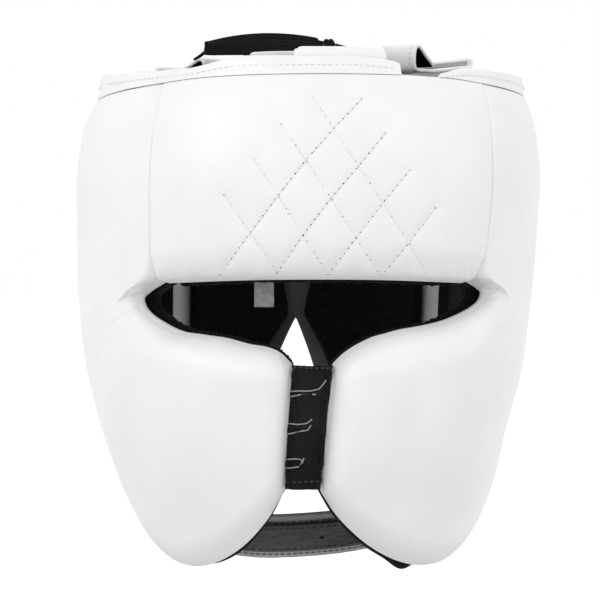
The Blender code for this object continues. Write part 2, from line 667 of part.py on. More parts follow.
def make_crown_loop(side, sign, reach, height, low):
    """A crown strap that comes forward from the rear rim and is folded back into a loop."""
    turn = math.radians(LOOP_TURN) * sign
    back = Vector((math.sin(turn), math.cos(turn), 0))
    front = Vector((sign * reach, 10 * MM, low))
    points = [front + back * fold.back * 17 * MM + Vector((0, 0, fold.height * height)) for fold in LOOP_FOLD]
    across = Vector((math.cos(turn), -math.sin(turn), 0))
    ribbon(f"crown_loop_{side}", smooth_path(points, 2), across, LOOP_WIDTH, 1.9 * MM, WHITE, 0.45)


def tube(name, path, radius, color, roughness, resolution=2):
    curve = bpy.data.curves.new(name, "CURVE")
    curve.dimensions = "3D"
    curve.bevel_depth = radius
    curve.bevel_resolution = resolution
    curve.use_fill_caps = True
    spline = curve.splines.new("POLY")
    spline.points.add(len(path) - 1)
    for point, place in zip(spline.points, path):
        point.co = (*place, 1)
    obj = bpy.data.objects.new(name, curve)
    parts.objects.link(obj)
    paint(obj, color, roughness)
    return obj


def make_laces():
    """The crown lace, its knot, the bundle of its free end with a tip, and the lace that closes the wings."""
    deck = (LEATHER_WALL + GAP + LACE_THICKNESS / 2) / MM
    cross = [Vector(p) * MM for p in ((-47, 14, -2.0), (-42.5, 17.5, -2.0), (-38, 21, -1.6), (-33.5, 20, 1.2),
                                      (-29, 14, deck + 0.6), (-22, 9.5, deck), (-8, 7.2, deck), (3, 6.8, 5.4), (8.3, 5, 8.8))]
    ribbon("crown_lace_right", smooth_path(cross, 2), Vector((0, 1, 0)), LACE_WIDTH * 0.8, LACE_THICKNESS, BLACK, 0.75)
    onward = [Vector(p) * MM for p in ((16.2, 3.8, 9.0), (24, 6, 7.2), (31, 11, 6.8), (36.5, 17.5, 6.2), (41, 20.5, 4.8),
                                       (46, 17.6, 3.5), (51, 14, 3.2))]
    ribbon("crown_lace_left", smooth_path(onward, 2), Vector((0, 1, 0.15)), LACE_WIDTH * 0.8, LACE_THICKNESS, BLACK, 0.75)
    bm = bmesh.new()
    bmesh.ops.create_uvsphere(bm, u_segments=12, v_segments=8, radius=3.4 * MM)
    bmesh.ops.translate(bm, verts=bm.verts, vec=Vector((12.1, 3, 9.9)) * MM)
    finish_mesh("lace_knot", bm, BLACK, 0.75)


def make_hank():
    """The outer shape of the bundled free end of the lace, lying on the crown lace, and its tip."""
    floor = LEATHER_WALL + GAP
    outer, inner = [], []
    for n in range(13):
        share = n / 12
        x = mix(-51, 8, share) * MM
        swell = math.sin(math.pi * min(1, max(0, share))) ** 0.8
        top = floor + mix(5.5, 11.7, swell) * MM
        depth = mix(5.5, 8.5, swell) * MM
        y = mix(-5, -3, share) * MM
        outer.append([Vector((x, y - depth / 2, z)) for z in (floor, (floor + top) / 2, top)])
        inner.append([Vector((x, y + depth / 2, z)) for z in (floor, (floor + top) / 2, top)])
    closed_sheet("lace_hank", outer, inner, BLACK, 0.75)
    tail = [Vector(p) * MM for p in ((-51.9, -4, 4.4), (-54, -4.2, 2.8), (-57, -4.6, 0.9))]
    tube("lace_tail", tail, 0.8 * MM, BLACK, 0.4)


def make_rear_lace():
    """One lace through the holes of both strips, straight across outside and upwards inside."""
    rows = lace_hole_heights()
    route = []
    outside = LACE_THICKNESS + LEATHER_WALL / 2 + 1.2 * MM
    for n, z in enumerate(rows):
        order = (1, -1) if n % 2 == 0 else (-1, 1)
        for k, sign in enumerate(order):
            azimuth = sign * lace_hole_azimuth(z)
            rise = strip_rise(azimuth, z)
            spots = [shell(azimuth, z, rise + way) for way in (-outside, 0, outside)]
            route += spots if k == 0 else spots[::-1]
    tube("rear_lace", route, 1.1 * MM, BLACK, 0.75, 1)


def make_mouth_bridge():
    """The black leather band between the cheek guards, bowed forward, with three sewn slots."""
    stations = (0, 0.04, 0.35, 0.65, 0.96, 1)
    outer, inner = [], []
    for share in stations:
        z = mix(BRIDGE_TOP, BRIDGE_BOTTOM, share)
        azimuth = mix(read(SIDE_SECTIONS, "front_azimuth", 1), read(SIDE_SECTIONS, "rear_azimuth", 1), share)
        ends = [shell(sign * azimuth, z, BRIDGE_RISE) for sign in (-1, 1)]
        middle = (ends[0] + ends[1]) / 2
        half = (ends[1].x - ends[0].x) / 2 - 0.6 * MM
        outer.append([])
        inner.append([])
        for n in range(9):
            angle = math.radians(mix(-80, 80, n / 8))
            bow = Vector((math.sin(angle), -math.cos(angle) * BRIDGE_BULGE / half, 0)) / math.sin(math.radians(80))
            outer[-1].append(middle + bow * half)
            inner[-1].append(middle + bow * (half - BRIDGE_WALL))
    band = closed_sheet("mouth_bridge", outer, inner, BLACK, 0.3)
    slots = []
    for share, tall in ((0.25, 1.2), (0.60, 2.6), (0.86, 3.2)):
        z = mix(BRIDGE_TOP, BRIDGE_BOTTOM, share)
        spot = shell(0, z, BRIDGE_RISE)
        bpy.ops.mesh.primitive_cube_add(size=1, location=(spot.x - 2 * MM, spot.y - BRIDGE_BULGE, z))
        slot = bpy.context.object
        slot.scale = (SLOT_WIDTH, 5 * BRIDGE_WALL, tall * MM)
        slots.append(slot)
    join_cutters("bridge_slot", band, slots)


def strap_path():
    """The chin strap's middle line, from the wearer's right side round under the chin to the left."""
    points = []
    for n in range(25):
        angle = math.pi * n / 24
        across = -math.cos(angle)
        down = max(0.0, math.sin(angle)) ** STRAP_FLATNESS
        z = mix(STRAP_TOP, STRAP_LOW, down)
        lower_edge = max(z - STRAP_WIDTH * 0.4, STRAP_TOP - STRAP_WIDTH)
        inside = abs(shell(math.copysign(90, across), lower_edge, 0).x)
        x = math.copysign(abs(across) ** 0.8, across) * (inside - STRAP_WALL / 2 - 4 * GAP - STRAP_NARROWING * down)
        points.append(Vector((x, -STRAP_FORWARD * down, z + math.tan(math.radians(STRAP_ROLL)) * x)))
    return points


def strap_across(path):
    tilt = math.radians(STRAP_TILT)

    def across(n):
        return Vector((0, math.cos(tilt), -math.sin(tilt)))
    return across


def make_chin_strap():
    path = strap_path()
    across = strap_across(path)
    ribbon("chin_strap", path, across, STRAP_WIDTH, STRAP_WALL, WHITE, 0.5, shares=(-0.5, -0.25, 0, 0.25, 0.5))
    lift = (STRAP_WALL + TONGUE_STRAP_WALL) / 2 + 2.5 * GAP
    raised = []
    for n, point in enumerate(path):
        ahead = (path[min(n + 1, len(path) - 1)] - path[max(n - 1, 0)]).normalized()
        normal = ahead.cross(across(n)).normalized()
        raised.append(point - normal * lift * (1 if normal.z > 0 else -1) - across(n) * TONGUE_STRAP_RISE)
    return raised[4:-4], across


def make_strap_tongue(path, across):
    tongue = ribbon("chin_strap_tongue", path, across, TONGUE_STRAP_WIDTH, TONGUE_STRAP_WALL, WHITE, 0.5)
    middle = path[len(path) // 2]
    holes = []
    for n in range(HOLES):
        x = middle.x + 6 * MM + n * HOLE_PITCH
        nearest = min(path, key=lambda p: abs(p.x - x))
        normal = Vector((0, math.sin(math.radians(STRAP_TILT)), math.cos(math.radians(STRAP_TILT))))
        holes.append(rod(Vector((x, nearest.y, nearest.z)), normal, HOLE_RADIUS, 3 * TONGUE_STRAP_WALL, 10))
    join_cutters("strap_hole", tongue, holes)


def make_buckle(path, across):
    """A plain frame on the chin strap, behind the wearer's left cheek guard."""
    n = round(len(path) * 0.8)
    ahead = (path[n + 1] - path[n - 1]).normalized()
    outward = ahead.cross(across(n)).normalized()
    outward = -outward if outward.z > 0 else outward
    place = Matrix((ahead, outward.cross(ahead), outward)).transposed().to_4x4()
    place.translation = path[n] + outward * (TONGUE_STRAP_WALL / 2 + 2 * GAP + BUCKLE_WALL / 2)
    bm = bmesh.new()
    bmesh.ops.create_cube(bm, size=1)
    bmesh.ops.scale(bm, vec=(BUCKLE_LENGTH, BUCKLE_WIDTH, BUCKLE_WALL), verts=bm.verts)
    bmesh.ops.transform(bm, matrix=place, verts=bm.verts)
    frame = finish_mesh("strap_buckle", bm, STEEL, 0.25, 1.0)
    bpy.ops.mesh.primitive_cube_add(size=1)
    window = bpy.context.object
    window.data.transform(Matrix.Diagonal((BUCKLE_LENGTH - 2 * BUCKLE_BAR, BUCKLE_WIDTH - 2 * BUCKLE_BAR, 0.01, 1)))
    window.data.transform(place)
    join_cutters("buckle_window", frame, [window])


def make_size_label():
    """A folded label that hangs from the brow seam, left bare."""
    brow = forehead_place(EYE_LINING_MARGIN)(0.5 + LABEL_AZIMUTH / SEAM_AZIMUTH / 2, 1)
    top = shell(brow[0], brow[1] - 2 * GAP, LINING_THICKNESS / 2)
    fold = [Vector((0, y, z)) for y, z in ((-0.9, 0), (-1.1, -0.5), (-0.9, -0.92), (0, -1), (0.9, -0.92), (1.1, -0.5), (0.9, 0))]
    path = [top + Vector((0, point.y * MM, point.z * LABEL_DROP)) for point in fold]
    ribbon("size_label", path, Vector((1, -0.12, 0)), LABEL_WIDTH, LABEL_WALL, WHITE, 0.8)


def main():
    clear_scene()
    global parts, cutters
    parts = bpy.data.collections.new("boxing_headgear")
    cutters = bpy.data.collections.new("cutters")
    bpy.context.scene.collection.children.link(parts)
    bpy.context.scene.collection.children.link(cutters)
    make_forehead()
    for side, sign in SIDES:
        make_side(side, sign)
        make_wing(side, sign)
        make_lacing_strip(side, sign)
        make_links(side, sign)
    make_crown_edges()
    make_crown_tongue()
    make_crown_tab()
    make_crown_loop("left", 1, 48 * MM, 12.5 * MM, -3.2 * MM)
    make_crown_loop("right", -1, 44 * MM, 6.5 * MM, -4.6 * MM)
    make_laces()
    make_hank()
    make_rear_lace()
    make_mouth_bridge()
    raised, across = make_chin_strap()
    make_strap_tongue(raised, across)
    make_buckle(raised, across)
    make_size_label()


main()
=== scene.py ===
"""Looks of the boxing headgear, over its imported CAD: leather pads, lining, laces, stitching and studio.

Shapes are worked out in millimetres, on the same shell as the solids, and turned into metres when a mesh is
made. Relief that only the front shows, such as quilting and creases, is placed by where it falls in the
camera's 600 x 600 picture and then lies on the surface of the pad that carries it.
"""

import math
from collections import namedtuple

import bpy
import numpy as np
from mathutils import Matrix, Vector
from mathutils.bvhtree import BVHTree


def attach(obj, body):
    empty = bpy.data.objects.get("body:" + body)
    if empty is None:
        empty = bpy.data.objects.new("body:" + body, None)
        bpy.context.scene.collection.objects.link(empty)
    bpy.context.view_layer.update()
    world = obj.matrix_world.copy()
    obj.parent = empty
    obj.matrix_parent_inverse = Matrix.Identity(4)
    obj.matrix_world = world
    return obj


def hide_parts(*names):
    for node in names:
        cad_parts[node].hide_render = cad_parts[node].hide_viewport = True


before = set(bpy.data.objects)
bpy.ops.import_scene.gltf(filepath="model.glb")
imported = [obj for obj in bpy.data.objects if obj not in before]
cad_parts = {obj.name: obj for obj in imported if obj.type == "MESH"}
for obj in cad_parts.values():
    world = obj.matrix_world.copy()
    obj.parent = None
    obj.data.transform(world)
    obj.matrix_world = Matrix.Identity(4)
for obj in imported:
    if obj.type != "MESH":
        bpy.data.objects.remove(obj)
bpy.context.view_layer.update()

MM = 0.001
BODY = "root"
SIDES = (("left", 1), ("right", -1))

# Driving dimensions of the shell, as in the solids
SHELL_TOP = 5
SHELL_HEIGHT = 250
CAVITY_HALF_WIDTH = 80
CAVITY_FRONT = 95
CAVITY_REAR = 96
SIDE_THICKNESS = 36
FRONT_THICKNESS = 31
REAR_THICKNESS = 17
REAR_LINING_INSET = 7
LINING_THICKNESS = 6
LEATHER_WALL = 3
GAP = 0.3
LINING_GAP = 0.97
OVAL_POWER = 0.83
TWIST = 5.5
EYE_FLARE = 11
SEAM_AZIMUTH = 42.3
BROW_ARCH = 2.2
BROW_DROP = 111.1
CROWN_DROP = 12
EYE_CORNER_AZIMUTH = 54
EYE_CORNER_DROP = 120
EYE_RIM_RADIUS = 18
EYE_LINING_MARGIN = 1.2
JAW_TONGUE = 3.5
JAW_TONGUE_PLACE = 0.775
EYE_SHOWN = {-1: 0.0, 1: -0.8}
JAW_SHOWN = -0.6
JAW_TONGUE_BREADTH = 0.035
WING_FRONT_RIGHT = 133
WING_FRONT_LEFT = 124
WING_TOP = -8
WING_BOTTOM = -186
WING_CREASES = (-62, -122)
NOTCH_APEX = -130.5
LACED_HALF_GAP = 3
APEX_HALF_GAP = 0.15
NOTCH_HALF_WIDTH = 21
LACING_STRIP = 7.5
LACE_HOLE_RADIUS = 2.2
LACE_ROWS = 4
APEX_PINCH = 0.5
LINK_RISE = 9
EAR_GAP_TOP = -137
EAR_GAP_ARCH = 7
EAR_GAP_BOTTOM = -158
CROWN_EDGE_TOP_FRONT = -4.6
RIM_STITCH = 2.9
RIM_STITCH_SHARE = 0.6
TONGUE_WIDTH = 56
TONGUE_REACH = 42
TAB_LEFT_AZIMUTH = 12
TAB_RIGHT_AZIMUTH = -6
LOOP_WIDTH = 20
LOOP_TURN = 38
LOOP_WALL = 1.9
LACE_WIDTH = 6.5
LACE_THICKNESS = 1.3
BRIDGE_TOP = -150.5
BRIDGE_BOTTOM = -208.5
BRIDGE_WALL = 2.6
BRIDGE_RISE = 19
BRIDGE_BULGE = 7
BRIDGE_BEND = 80
STRAP_WIDTH = 30
STRAP_WALL = 3
STRAP_TILT = 45
STRAP_NARROWING = 3.6
TONGUE_STRAP_WIDTH = 19
TONGUE_STRAP_RISE = 2.2
TONGUE_STRAP_WALL = 2
STRAP_LOW = -237.5
STRAP_TOP = -172
STRAP_FORWARD = 34
STRAP_FLATNESS = 0.35
STRAP_ROLL = 4
HOLE_RADIUS = 2
HOLE_PITCH = 17.5
HOLES = 4
FIRST_HOLE = 6
BUCKLE_LENGTH = 15
BUCKLE_WIDTH = 27
BUCKLE_WALL = 2.4
BUCKLE_BAR = 3
BUCKLE_STATIONS = 96
BUCKLE_SQUARENESS = 0.28
LABEL_AZIMUTH = -14
LABEL_WIDTH = 9
LABEL_DROP = 11.5
LABEL_WALL = 0.5

Level = namedtuple(
    "Level",
    "level cavity_width cavity_front cavity_rear side_pad front_pad rear_pad front_twist rear_twist lean")
SHELL = (
    Level(0.00, 1.125, 0.885, 0.87, 0.47, 0.45, 0.85, 0.65, 0.0, 0.45),
    Level(0.08, 1.100, 0.926, 0.91, 0.57, 0.66, 0.90, 0.70, 0.0, 0.35),
    Level(0.18, 1.045, 0.979, 0.96, 0.86, 0.91, 1.00, 0.70, 0.0, 0.15),
    Level(0.30, 1.005, 1.000, 1.00, 1.01, 1.00, 1.00, 0.65, 0.0, 0.0),
    Level(0.46, 0.990, 0.985, 0.98, 0.99, 0.95, 1.00, 0.35, 0.1, -0.15),
    Level(0.62, 0.970, 0.965, 0.91, 0.93, 1.07, 1.00, -0.10, -0.1, -0.25),
    Level(0.77, 0.920, 0.926, 0.84, 0.79, 1.10, 0.95, -0.70, -0.6, -0.20),
    Level(0.90, 0.845, 0.863, 0.77, 0.70, 1.00, 0.90, -1.45, -0.8, 0.40),
    Level(1.00, 0.795, 0.800, 0.70, 0.68, 0.85, 0.90, -1.25, -0.8, 0.60),
)

Section = namedtuple("Section", "along front_azimuth front_level rear_azimuth rear_level rim seam left_lift")
SIDE_SECTIONS = (
    Section(0.00, 42.3, 0.084, 105.0, 0.112, 0.15, 1.0, 0.000),
    Section(0.07, 42.3, 0.145, 106.0, 0.180, 0.15, 1.0, 0.000),
    Section(0.15, 42.3, 0.230, 107.0, 0.275, 0.15, 1.0, 0.000),
    Section(0.23, 42.3, 0.325, 107.0, 0.385, 0.15, 1.0, 0.000),
    Section(0.31, 42.4, 0.412, 106.0, 0.490, 0.18, 1.0, 0.000),
    Section(0.36, 43.4, 0.456, 105.0, 0.575, 0.40, 0.6, 0.003),
    Section(0.40, 47.6, 0.474, 103.0, 0.655, 0.50, 0.0, 0.010),
    Section(0.45, 51.2, 0.493, 99.5, 0.735, 0.55, 0.0, 0.013),
    Section(0.51, 48.6, 0.522, 92.0, 0.820, 0.68, 0.0, 0.017),
    Section(0.58, 39.5, 0.555, 79.0, 0.905, 0.90, 0.0, 0.021),
    Section(0.66, 30.0, 0.565, 62.5, 0.982, 1.10, 0.0, 0.017),
    Section(0.74, 22.5, 0.571, 45.5, 1.016, 1.15, 0.0, 0.016),
    Section(0.82, 15.5, 0.582, 30.5, 1.002, 1.05, 0.0, 0.016),
    Section(0.89, 10.2, 0.588, 18.0, 0.966, 0.85, 0.0, 0.007),
    Section(0.95, 6.6, 0.599, 9.0, 0.915, 0.70, 0.0, 0.001),
    Section(1.00, 3.9, 0.617, 3.7, 0.862, 0.55, 0.0, 0.000),
)

Rim = namedtuple("Rim", "azimuth pad_top edge_top_left edge_top_right")
CROWN_RIM = (
    Rim(0.0, 1.00, 0.38, 0.38),
    Rim(18.0, 1.05, 0.45, 0.38),
    Rim(26.0, 1.10, 1.00, 0.58),
    Rim(32.0, 1.15, 0.86, 0.78),
    Rim(39.5, 1.25, 0.76, 0.86),
    Rim(55.0, 1.42, 0.84, 0.88),
    Rim(75.0, 1.62, 0.94, 0.80),
    Rim(90.0, 1.72, 0.92, 0.78),
    Rim(105.0, 1.80, 0.90, 0.80),
)

# How a pad ends: its rounding, the share of the thickness left as a wall, and where that wall sits between
# the lining (0) and the leather face (1)
Edge = namedtuple("Edge", "radius wall seat")
SEAM_EDGE = Edge(2.2, 0.955, 0.5)
CROWN_EDGE = Edge(12, 0.42, 0.78)
FREE_EDGE = Edge(14, 0.2, 0.25)
BROW_EDGE = Edge(17, 0.2, 0.2)
MOUTH_EDGE = Edge(11.2, 0.3, 0.4)
WING_EDGE = Edge(5, 0.75, 0.45)
WING_LOW_EDGE = Edge(10, 0.4, 0.35)
LINING_EDGE = Edge(4, 0.45, 0.5)

# The camera, level with the middle of the headgear and a little to the wearer's right
CAMERA_TARGET = np.array((-3.0, 0.0, -121.0))
CAMERA_AZIMUTH = -2.5
CAMERA_ELEVATION = 1.0
CAMERA_DISTANCE = 1500
VIEW_WIDTH = 306
PICTURE = 600

# The studio, in metres and watts
FLOOR_RADIUS = 30.0
FLOOR_HEIGHT = -0.62
FLOOR_SIDES = 96
LAMP_TARGET = (0, 0, -0.12)
Lamp = namedtuple("Lamp", "name place size power")
LAMPS = (
    Lamp("key", (-1.05, -1.25, 0.95), (0.1, 1.3), 6.5),
    Lamp("fill", (1.3, -1.0, 0.35), (0.08, 1.2), 1.6),
    Lamp("back", (0.5, 1.4, 0.9), (0.8, 0.8), 3.0),
)

# Quilting, as rows of points in the picture
QUILT_LINES = (
    ((312, 95), (333.6, 128.5), (358.6, 166), (383, 203), (409, 243), (429, 279)),
    ((281, 124), (306, 160), (331, 198), (356, 238), (381, 277)),
    ((254, 159), (278, 195.6), (303, 235), (328, 274.5)),
    ((224, 195), (250, 233), (277, 272)),
    ((361.5, 99), (333.6, 128.5), (306, 160), (278, 195.6), (250, 233), (220, 275)),
    ((385.6, 133), (358.6, 166), (331, 198), (303, 235), (277, 273)),
    ((410, 170), (383, 203), (356, 238), (328, 274.5)),
    ((435.5, 208), (409, 243), (381, 277)),
)
QUILT_PITCH = 6.6

# Creases: from x0, y0 where they are deepest to x1, y1 where they run out, in the picture, with depth and
# width in millimetres.
Crease = namedtuple("Crease", "x0 y0 x1 y1 depth width")
SIDE_CREASES = (
    Crease(147, 302, 107, 326, 1.50, 1.3), Crease(148, 294, 112, 301, 0.80, 1.2),
    Crease(143, 306, 136, 320, 0.45, 0.8), Crease(139, 308, 132, 320, 0.40, 0.8),
    Crease(147, 307, 143, 318, 0.35, 0.8), Crease(133, 311, 118, 330, 0.40, 0.9),
    Crease(112, 325, 102, 352, 0.35, 1.1), Crease(126, 335, 114, 358, 0.30, 1.1),
    Crease(131, 339, 119, 355, 0.28, 1.0), Crease(146, 297, 120, 291, 0.50, 1.3),
    Crease(150, 290, 128, 281, 0.35, 1.3), Crease(106, 340, 98, 362, 0.25, 1.3),
    Crease(121, 345, 108, 372, 0.22, 1.3), Crease(152, 313, 146, 326, 0.25, 0.8),
    Crease(138, 328, 127, 344, 0.22, 0.9), Crease(480, 295, 494, 291, 0.85, 1.0),
    Crease(494, 291, 508, 279, 0.70, 1.1), Crease(481, 296, 497, 297, 0.80, 1.0),
    Crease(495, 296, 512, 283, 0.55, 1.0), Crease(479, 301, 505, 298, 0.45, 1.2),
    Crease(484, 306, 499, 310, 0.55, 1.1), Crease(498, 310, 514, 311, 0.40, 1.1),
    Crease(488, 311, 512, 318, 0.40, 1.1), Crease(496, 321, 508, 333, 0.50, 1.1),
    Crease(505, 330, 517, 338, 0.40, 1.1), Crease(499, 328, 514, 343, 0.30, 1.1),
    Crease(486, 338, 516, 357, 0.28, 1.6), Crease(478, 290, 492, 276, 0.40, 1.0),
    Crease(484, 287, 502, 268, 0.30, 1.1), Crease(489, 343, 511, 368, 0.22, 1.6),
    Crease(277, 356, 283, 373, 0.35, 0.8), Crease(281, 358, 286, 376, 0.35, 0.8),
    Crease(273, 356, 278, 371, 0.25, 0.8), Crease(286, 362, 288, 380, 0.30, 0.8),
    Crease(268, 352, 272, 368, 0.20, 0.9), Crease(338, 480, 352, 522, 0.35, 1.6),
    Crease(331, 486, 340, 512, 0.25, 1.3),
)
BROW_CREASES = (
    Crease(470, 278, 472, 242, 0.45, 1.2), Crease(463, 279, 465, 252, 0.35, 1.1),
    Crease(477, 282, 484, 258, 0.60, 1.1), Crease(484, 279, 488, 262, 0.40, 1.0),
    Crease(456, 279, 455, 258, 0.25, 1.1), Crease(447, 280, 443, 262, 0.22, 1.3),
    Crease(166, 283, 158, 262, 0.45, 1.0), Crease(172, 282, 166, 266, 0.25, 1.0),
    Crease(200, 281, 196, 270, 0.18, 1.2), Crease(316, 275, 314, 255, 0.25, 1.3),
    Crease(320, 276, 321, 262, 0.25, 1.0), Crease(334, 277, 334, 262, 0.25, 1.0),
    Crease(340, 278, 338, 264, 0.25, 1.0), Crease(352, 280, 356, 262, 0.25, 1.2),
    Crease(366, 281, 369, 266, 0.22, 1.2), Crease(390, 281, 394, 268, 0.22, 1.2),
    Crease(404, 281, 402, 266, 0.18, 1.2), Crease(262, 278, 259, 262, 0.20, 1.2),
    Crease(289, 275, 291, 262, 0.20, 1.2), Crease(243, 279, 240, 266, 0.18, 1.2),
    Crease(306, 274, 305, 258, 0.2, 1.2),
)
# The mouth bridge's sewn slots, the stitches that bind them, its hems and its swells, in the picture
Slot = namedtuple("Slot", "x y half_wide half_tall")
BRIDGE_SLOTS = (Slot(305, 394, 5.8, 0.5), Slot(296, 430.3, 4.2, 1.6), Slot(296, 463, 5.4, 2.3))
BRIDGE_BINDINGS = (
    ((291, 391.5), (300, 391), (311, 391), (319, 389), (324, 383), (326, 380)),
    ((289, 397), (296, 395.5), (304, 394), (316, 394.5)),
    ((288, 423.5), (298, 424.5), (307, 423.5), (312, 419)),
    ((285, 434.5), (293, 433), (302, 431), (308, 430), (311, 425)),
    ((286, 459.5), (294, 459), (301, 459.5), (303, 462)),
    ((283, 468), (291, 467.8), (299, 466.5), (302, 463), (304, 458)),
)
BRIDGE_HEMS = (((286, 482.5), (320, 481)), ((293, 367.5), (330, 368)))
BRIDGE_SWELLS = ((394, 0.5), (430, 0.8), (463, 0.9))

# Broad, soft hollows and swells of the cheeks and brow, as creases without an end
SWELLS = (
    Crease(425, 372, 396, 505, 0.9, 9), Crease(222, 385, 228, 520, 0.45, 10),
    Crease(505, 300, 500, 330, 0.7, 7), Crease(130, 300, 108, 345, 0.7, 8),
    Crease(352, 350, 470, 322, -0.8, 7), Crease(170, 345, 262, 372, -0.7, 8),
    Crease(455, 385, 450, 470, -0.5, 14), Crease(355, 400, 350, 480, -0.4, 8),
    Crease(185, 120, 215, 210, -0.6, 16),
)

parts = bpy.data.collections.new("dressed")
bpy.context.scene.collection.children.link(parts)
rng = np.random.default_rng(7)


# Numbers

def mix(a, b, share):
    return a + (b - a) * share


def distances(path):
    """How far along a path each of its points lies."""
    return np.concatenate(([0], np.cumsum(np.linalg.norm(np.diff(path, axis=0), axis=-1))))


def turns(sides):
    return np.arange(sides) * 2 * math.pi / sides


def unit(vectors):
    return vectors / np.maximum(np.linalg.norm(vectors, axis=-1, keepdims=True), 1e-9)


def smoothstep(low, high, value):
    share = np.clip((value - low) / (high - low), 0, 1)
    return share * share * (3 - 2 * share)


def read(table, column, at):
    """A column's values at some keys, on a smooth curve through the rows. The key is the first column."""
    keys = np.array([row[0] for row in table], float)
    values = np.array([getattr(row, column) for row in table], float)
    at = np.asarray(at, float)
    slopes = np.diff(values) / np.diff(keys)
    inner = np.where(slopes[:-1] * slopes[1:] > 0, (slopes[:-1] + slopes[1:]) / 2, 0.0)
    tangents = np.concatenate(([slopes[0]], inner, [slopes[-1]]))
    k = np.clip(np.searchsorted(keys, at, side="left") - 1, 0, len(keys) - 2)
    span = keys[k + 1] - keys[k]
    s = (at - keys[k]) / span
    curve = ((2 * s**3 - 3 * s**2 + 1) * values[k] + (s**3 - 2 * s**2 + s) * span * tangents[k]
             + (3 * s**2 - 2 * s**3) * values[k + 1] + (s**3 - s**2) * span * tangents[k + 1])
    curve = np.where(at <= keys[0], values[0] + slopes[0] * (at - keys[0]), curve)
    return np.where(at >= keys[-1], values[-1] + slopes[-1] * (at - keys[-1]), curve)


def stations(count, ends=3.0, reach=0.04, focus=()):
    """Shares from 0 to 1, closer together near both ends and round each focus (share, breadth, gain)."""
    fine = np.linspace(0, 1, 2001)
    weight = 1 + ends * (np.exp(-(fine / reach) ** 2) + np.exp(-((1 - fine) / reach) ** 2))
    for share, breadth, gain in focus:
        weight += gain * np.exp(-((fine - share) / breadth) ** 2)
    total = np.concatenate(([0], np.cumsum((weight[1:] + weight[:-1]) / 2)))
    return np.interp(np.linspace(0, total[-1], count), total, fine)


def ripple(points, length, seed):
    """Smooth unevenness between about -1 and 1, with waves of that length."""
    draw = np.random.default_rng(seed)
    total = 0
    for _ in range(7):
        direction = unit(draw.normal(size=3)) / (length * draw.uniform(0.7, 1.4))
        total = total + np.sin(points @ direction * 2 * math.pi + draw.uniform(0, 2 * math.pi))
    return total / 3.2


# The shell

def level_of(z):
    return (SHELL_TOP - z) / SHELL_HEIGHT


def height_of(level):
    return SHELL_TOP - level * SHELL_HEIGHT


def shell(azimuth, z, rise):
    """Points at azimuths in degrees and heights, that far outside the head cavity."""
    azimuth, z, rise = np.broadcast_arrays(np.asarray(azimuth, float), np.asarray(z, float),
                                           np.asarray(rise, float))
    level = level_of(z)
    across = np.sin(np.radians(azimuth))
    ahead = np.cos(np.radians(azimuth))
    front = ahead > 0
    width = CAVITY_HALF_WIDTH * read(SHELL, "cavity_width", level) + rise
    reach = np.where(front, CAVITY_FRONT * read(SHELL, "cavity_front", level),
                     CAVITY_REAR * read(SHELL, "cavity_rear", level)) + rise
    twist = TWIST * np.where(front, read(SHELL, "front_twist", level), read(SHELL, "rear_twist", level))
    lean = TWIST * read(SHELL, "lean", level)
    x = np.sign(across) * width * np.abs(across) ** OVAL_POWER + twist * np.abs(ahead) + lean
    y = -np.sign(ahead) * reach * np.abs(ahead) ** OVAL_POWER
    return np.stack((x, y, z), axis=-1)


def azimuth_at(x, z, rise):
    width = CAVITY_HALF_WIDTH * read(SHELL, "cavity_width", level_of(z)) + rise
    return 180 - np.degrees(np.arcsin((x / width) ** (1 / OVAL_POWER)))


def face_thickness(azimuth, z):
    level = level_of(z)
    side = np.sin(np.radians(np.minimum(np.abs(azimuth), 90))) ** 2
    return mix(FRONT_THICKNESS * read(SHELL, "front_pad", level),
               SIDE_THICKNESS * read(SHELL, "side_pad", level), side)


def flare(azimuth, z):
    off = ((np.abs(azimuth) - EYE_CORNER_AZIMUTH) / 17) ** 2 + ((z + EYE_CORNER_DROP) / 22) ** 2
    return EYE_FLARE * np.exp(-off)


def face_pad(azimuth, z):
    return LINING_THICKNESS + LINING_GAP + flare(azimuth, z) * 1.12, face_thickness(azimuth, z)


def rear_pad(azimuth, z):
    return LINING_THICKNESS + LINING_GAP + 0 * z, REAR_THICKNESS * read(SHELL, "rear_pad", level_of(z))


def lining(azimuth, z):
    out = flare(azimuth, z)
    return out, out + LINING_THICKNESS


def notch_half_gap(z):
    laced = mix(APEX_HALF_GAP, LACED_HALF_GAP, np.minimum(1.0, (z - NOTCH_APEX) / -NOTCH_APEX))
    opened = np.clip((NOTCH_APEX - z) / (NOTCH_APEX - WING_BOTTOM), 0, None)
    return np.where(z >= NOTCH_APEX, laced, mix(APEX_HALF_GAP, NOTCH_HALF_WIDTH, opened ** 0.85))


def strip_width(z):
    return LACING_STRIP * (1 - APEX_PINCH * np.exp(-((z - NOTCH_APEX) / 16) ** 2))


# The camera's picture

def camera_frame():
    azimuth, elevation = math.radians(CAMERA_AZIMUTH), math.radians(CAMERA_ELEVATION)
    back = np.array((math.sin(azimuth) * math.cos(elevation), -math.cos(azimuth) * math.cos(elevation),
                     math.sin(elevation)))
    right = np.array((math.cos(azimuth), math.sin(azimuth), 0.0))
    return CAMERA_TARGET + back * CAMERA_DISTANCE, right, np.cross(right, -back), -back


EYE, RIGHT, UP, FORWARD = camera_frame()
PIXELS_PER_SLOPE = PICTURE / VIEW_WIDTH * CAMERA_DISTANCE


def pixels(points):
    """Where points fall in the picture."""
    way = points - EYE
    depth = way @ FORWARD
    return (PICTURE / 2 + PIXELS_PER_SLOPE * (way @ RIGHT) / depth,
            PICTURE / 2 - PIXELS_PER_SLOPE * (way @ UP) / depth)


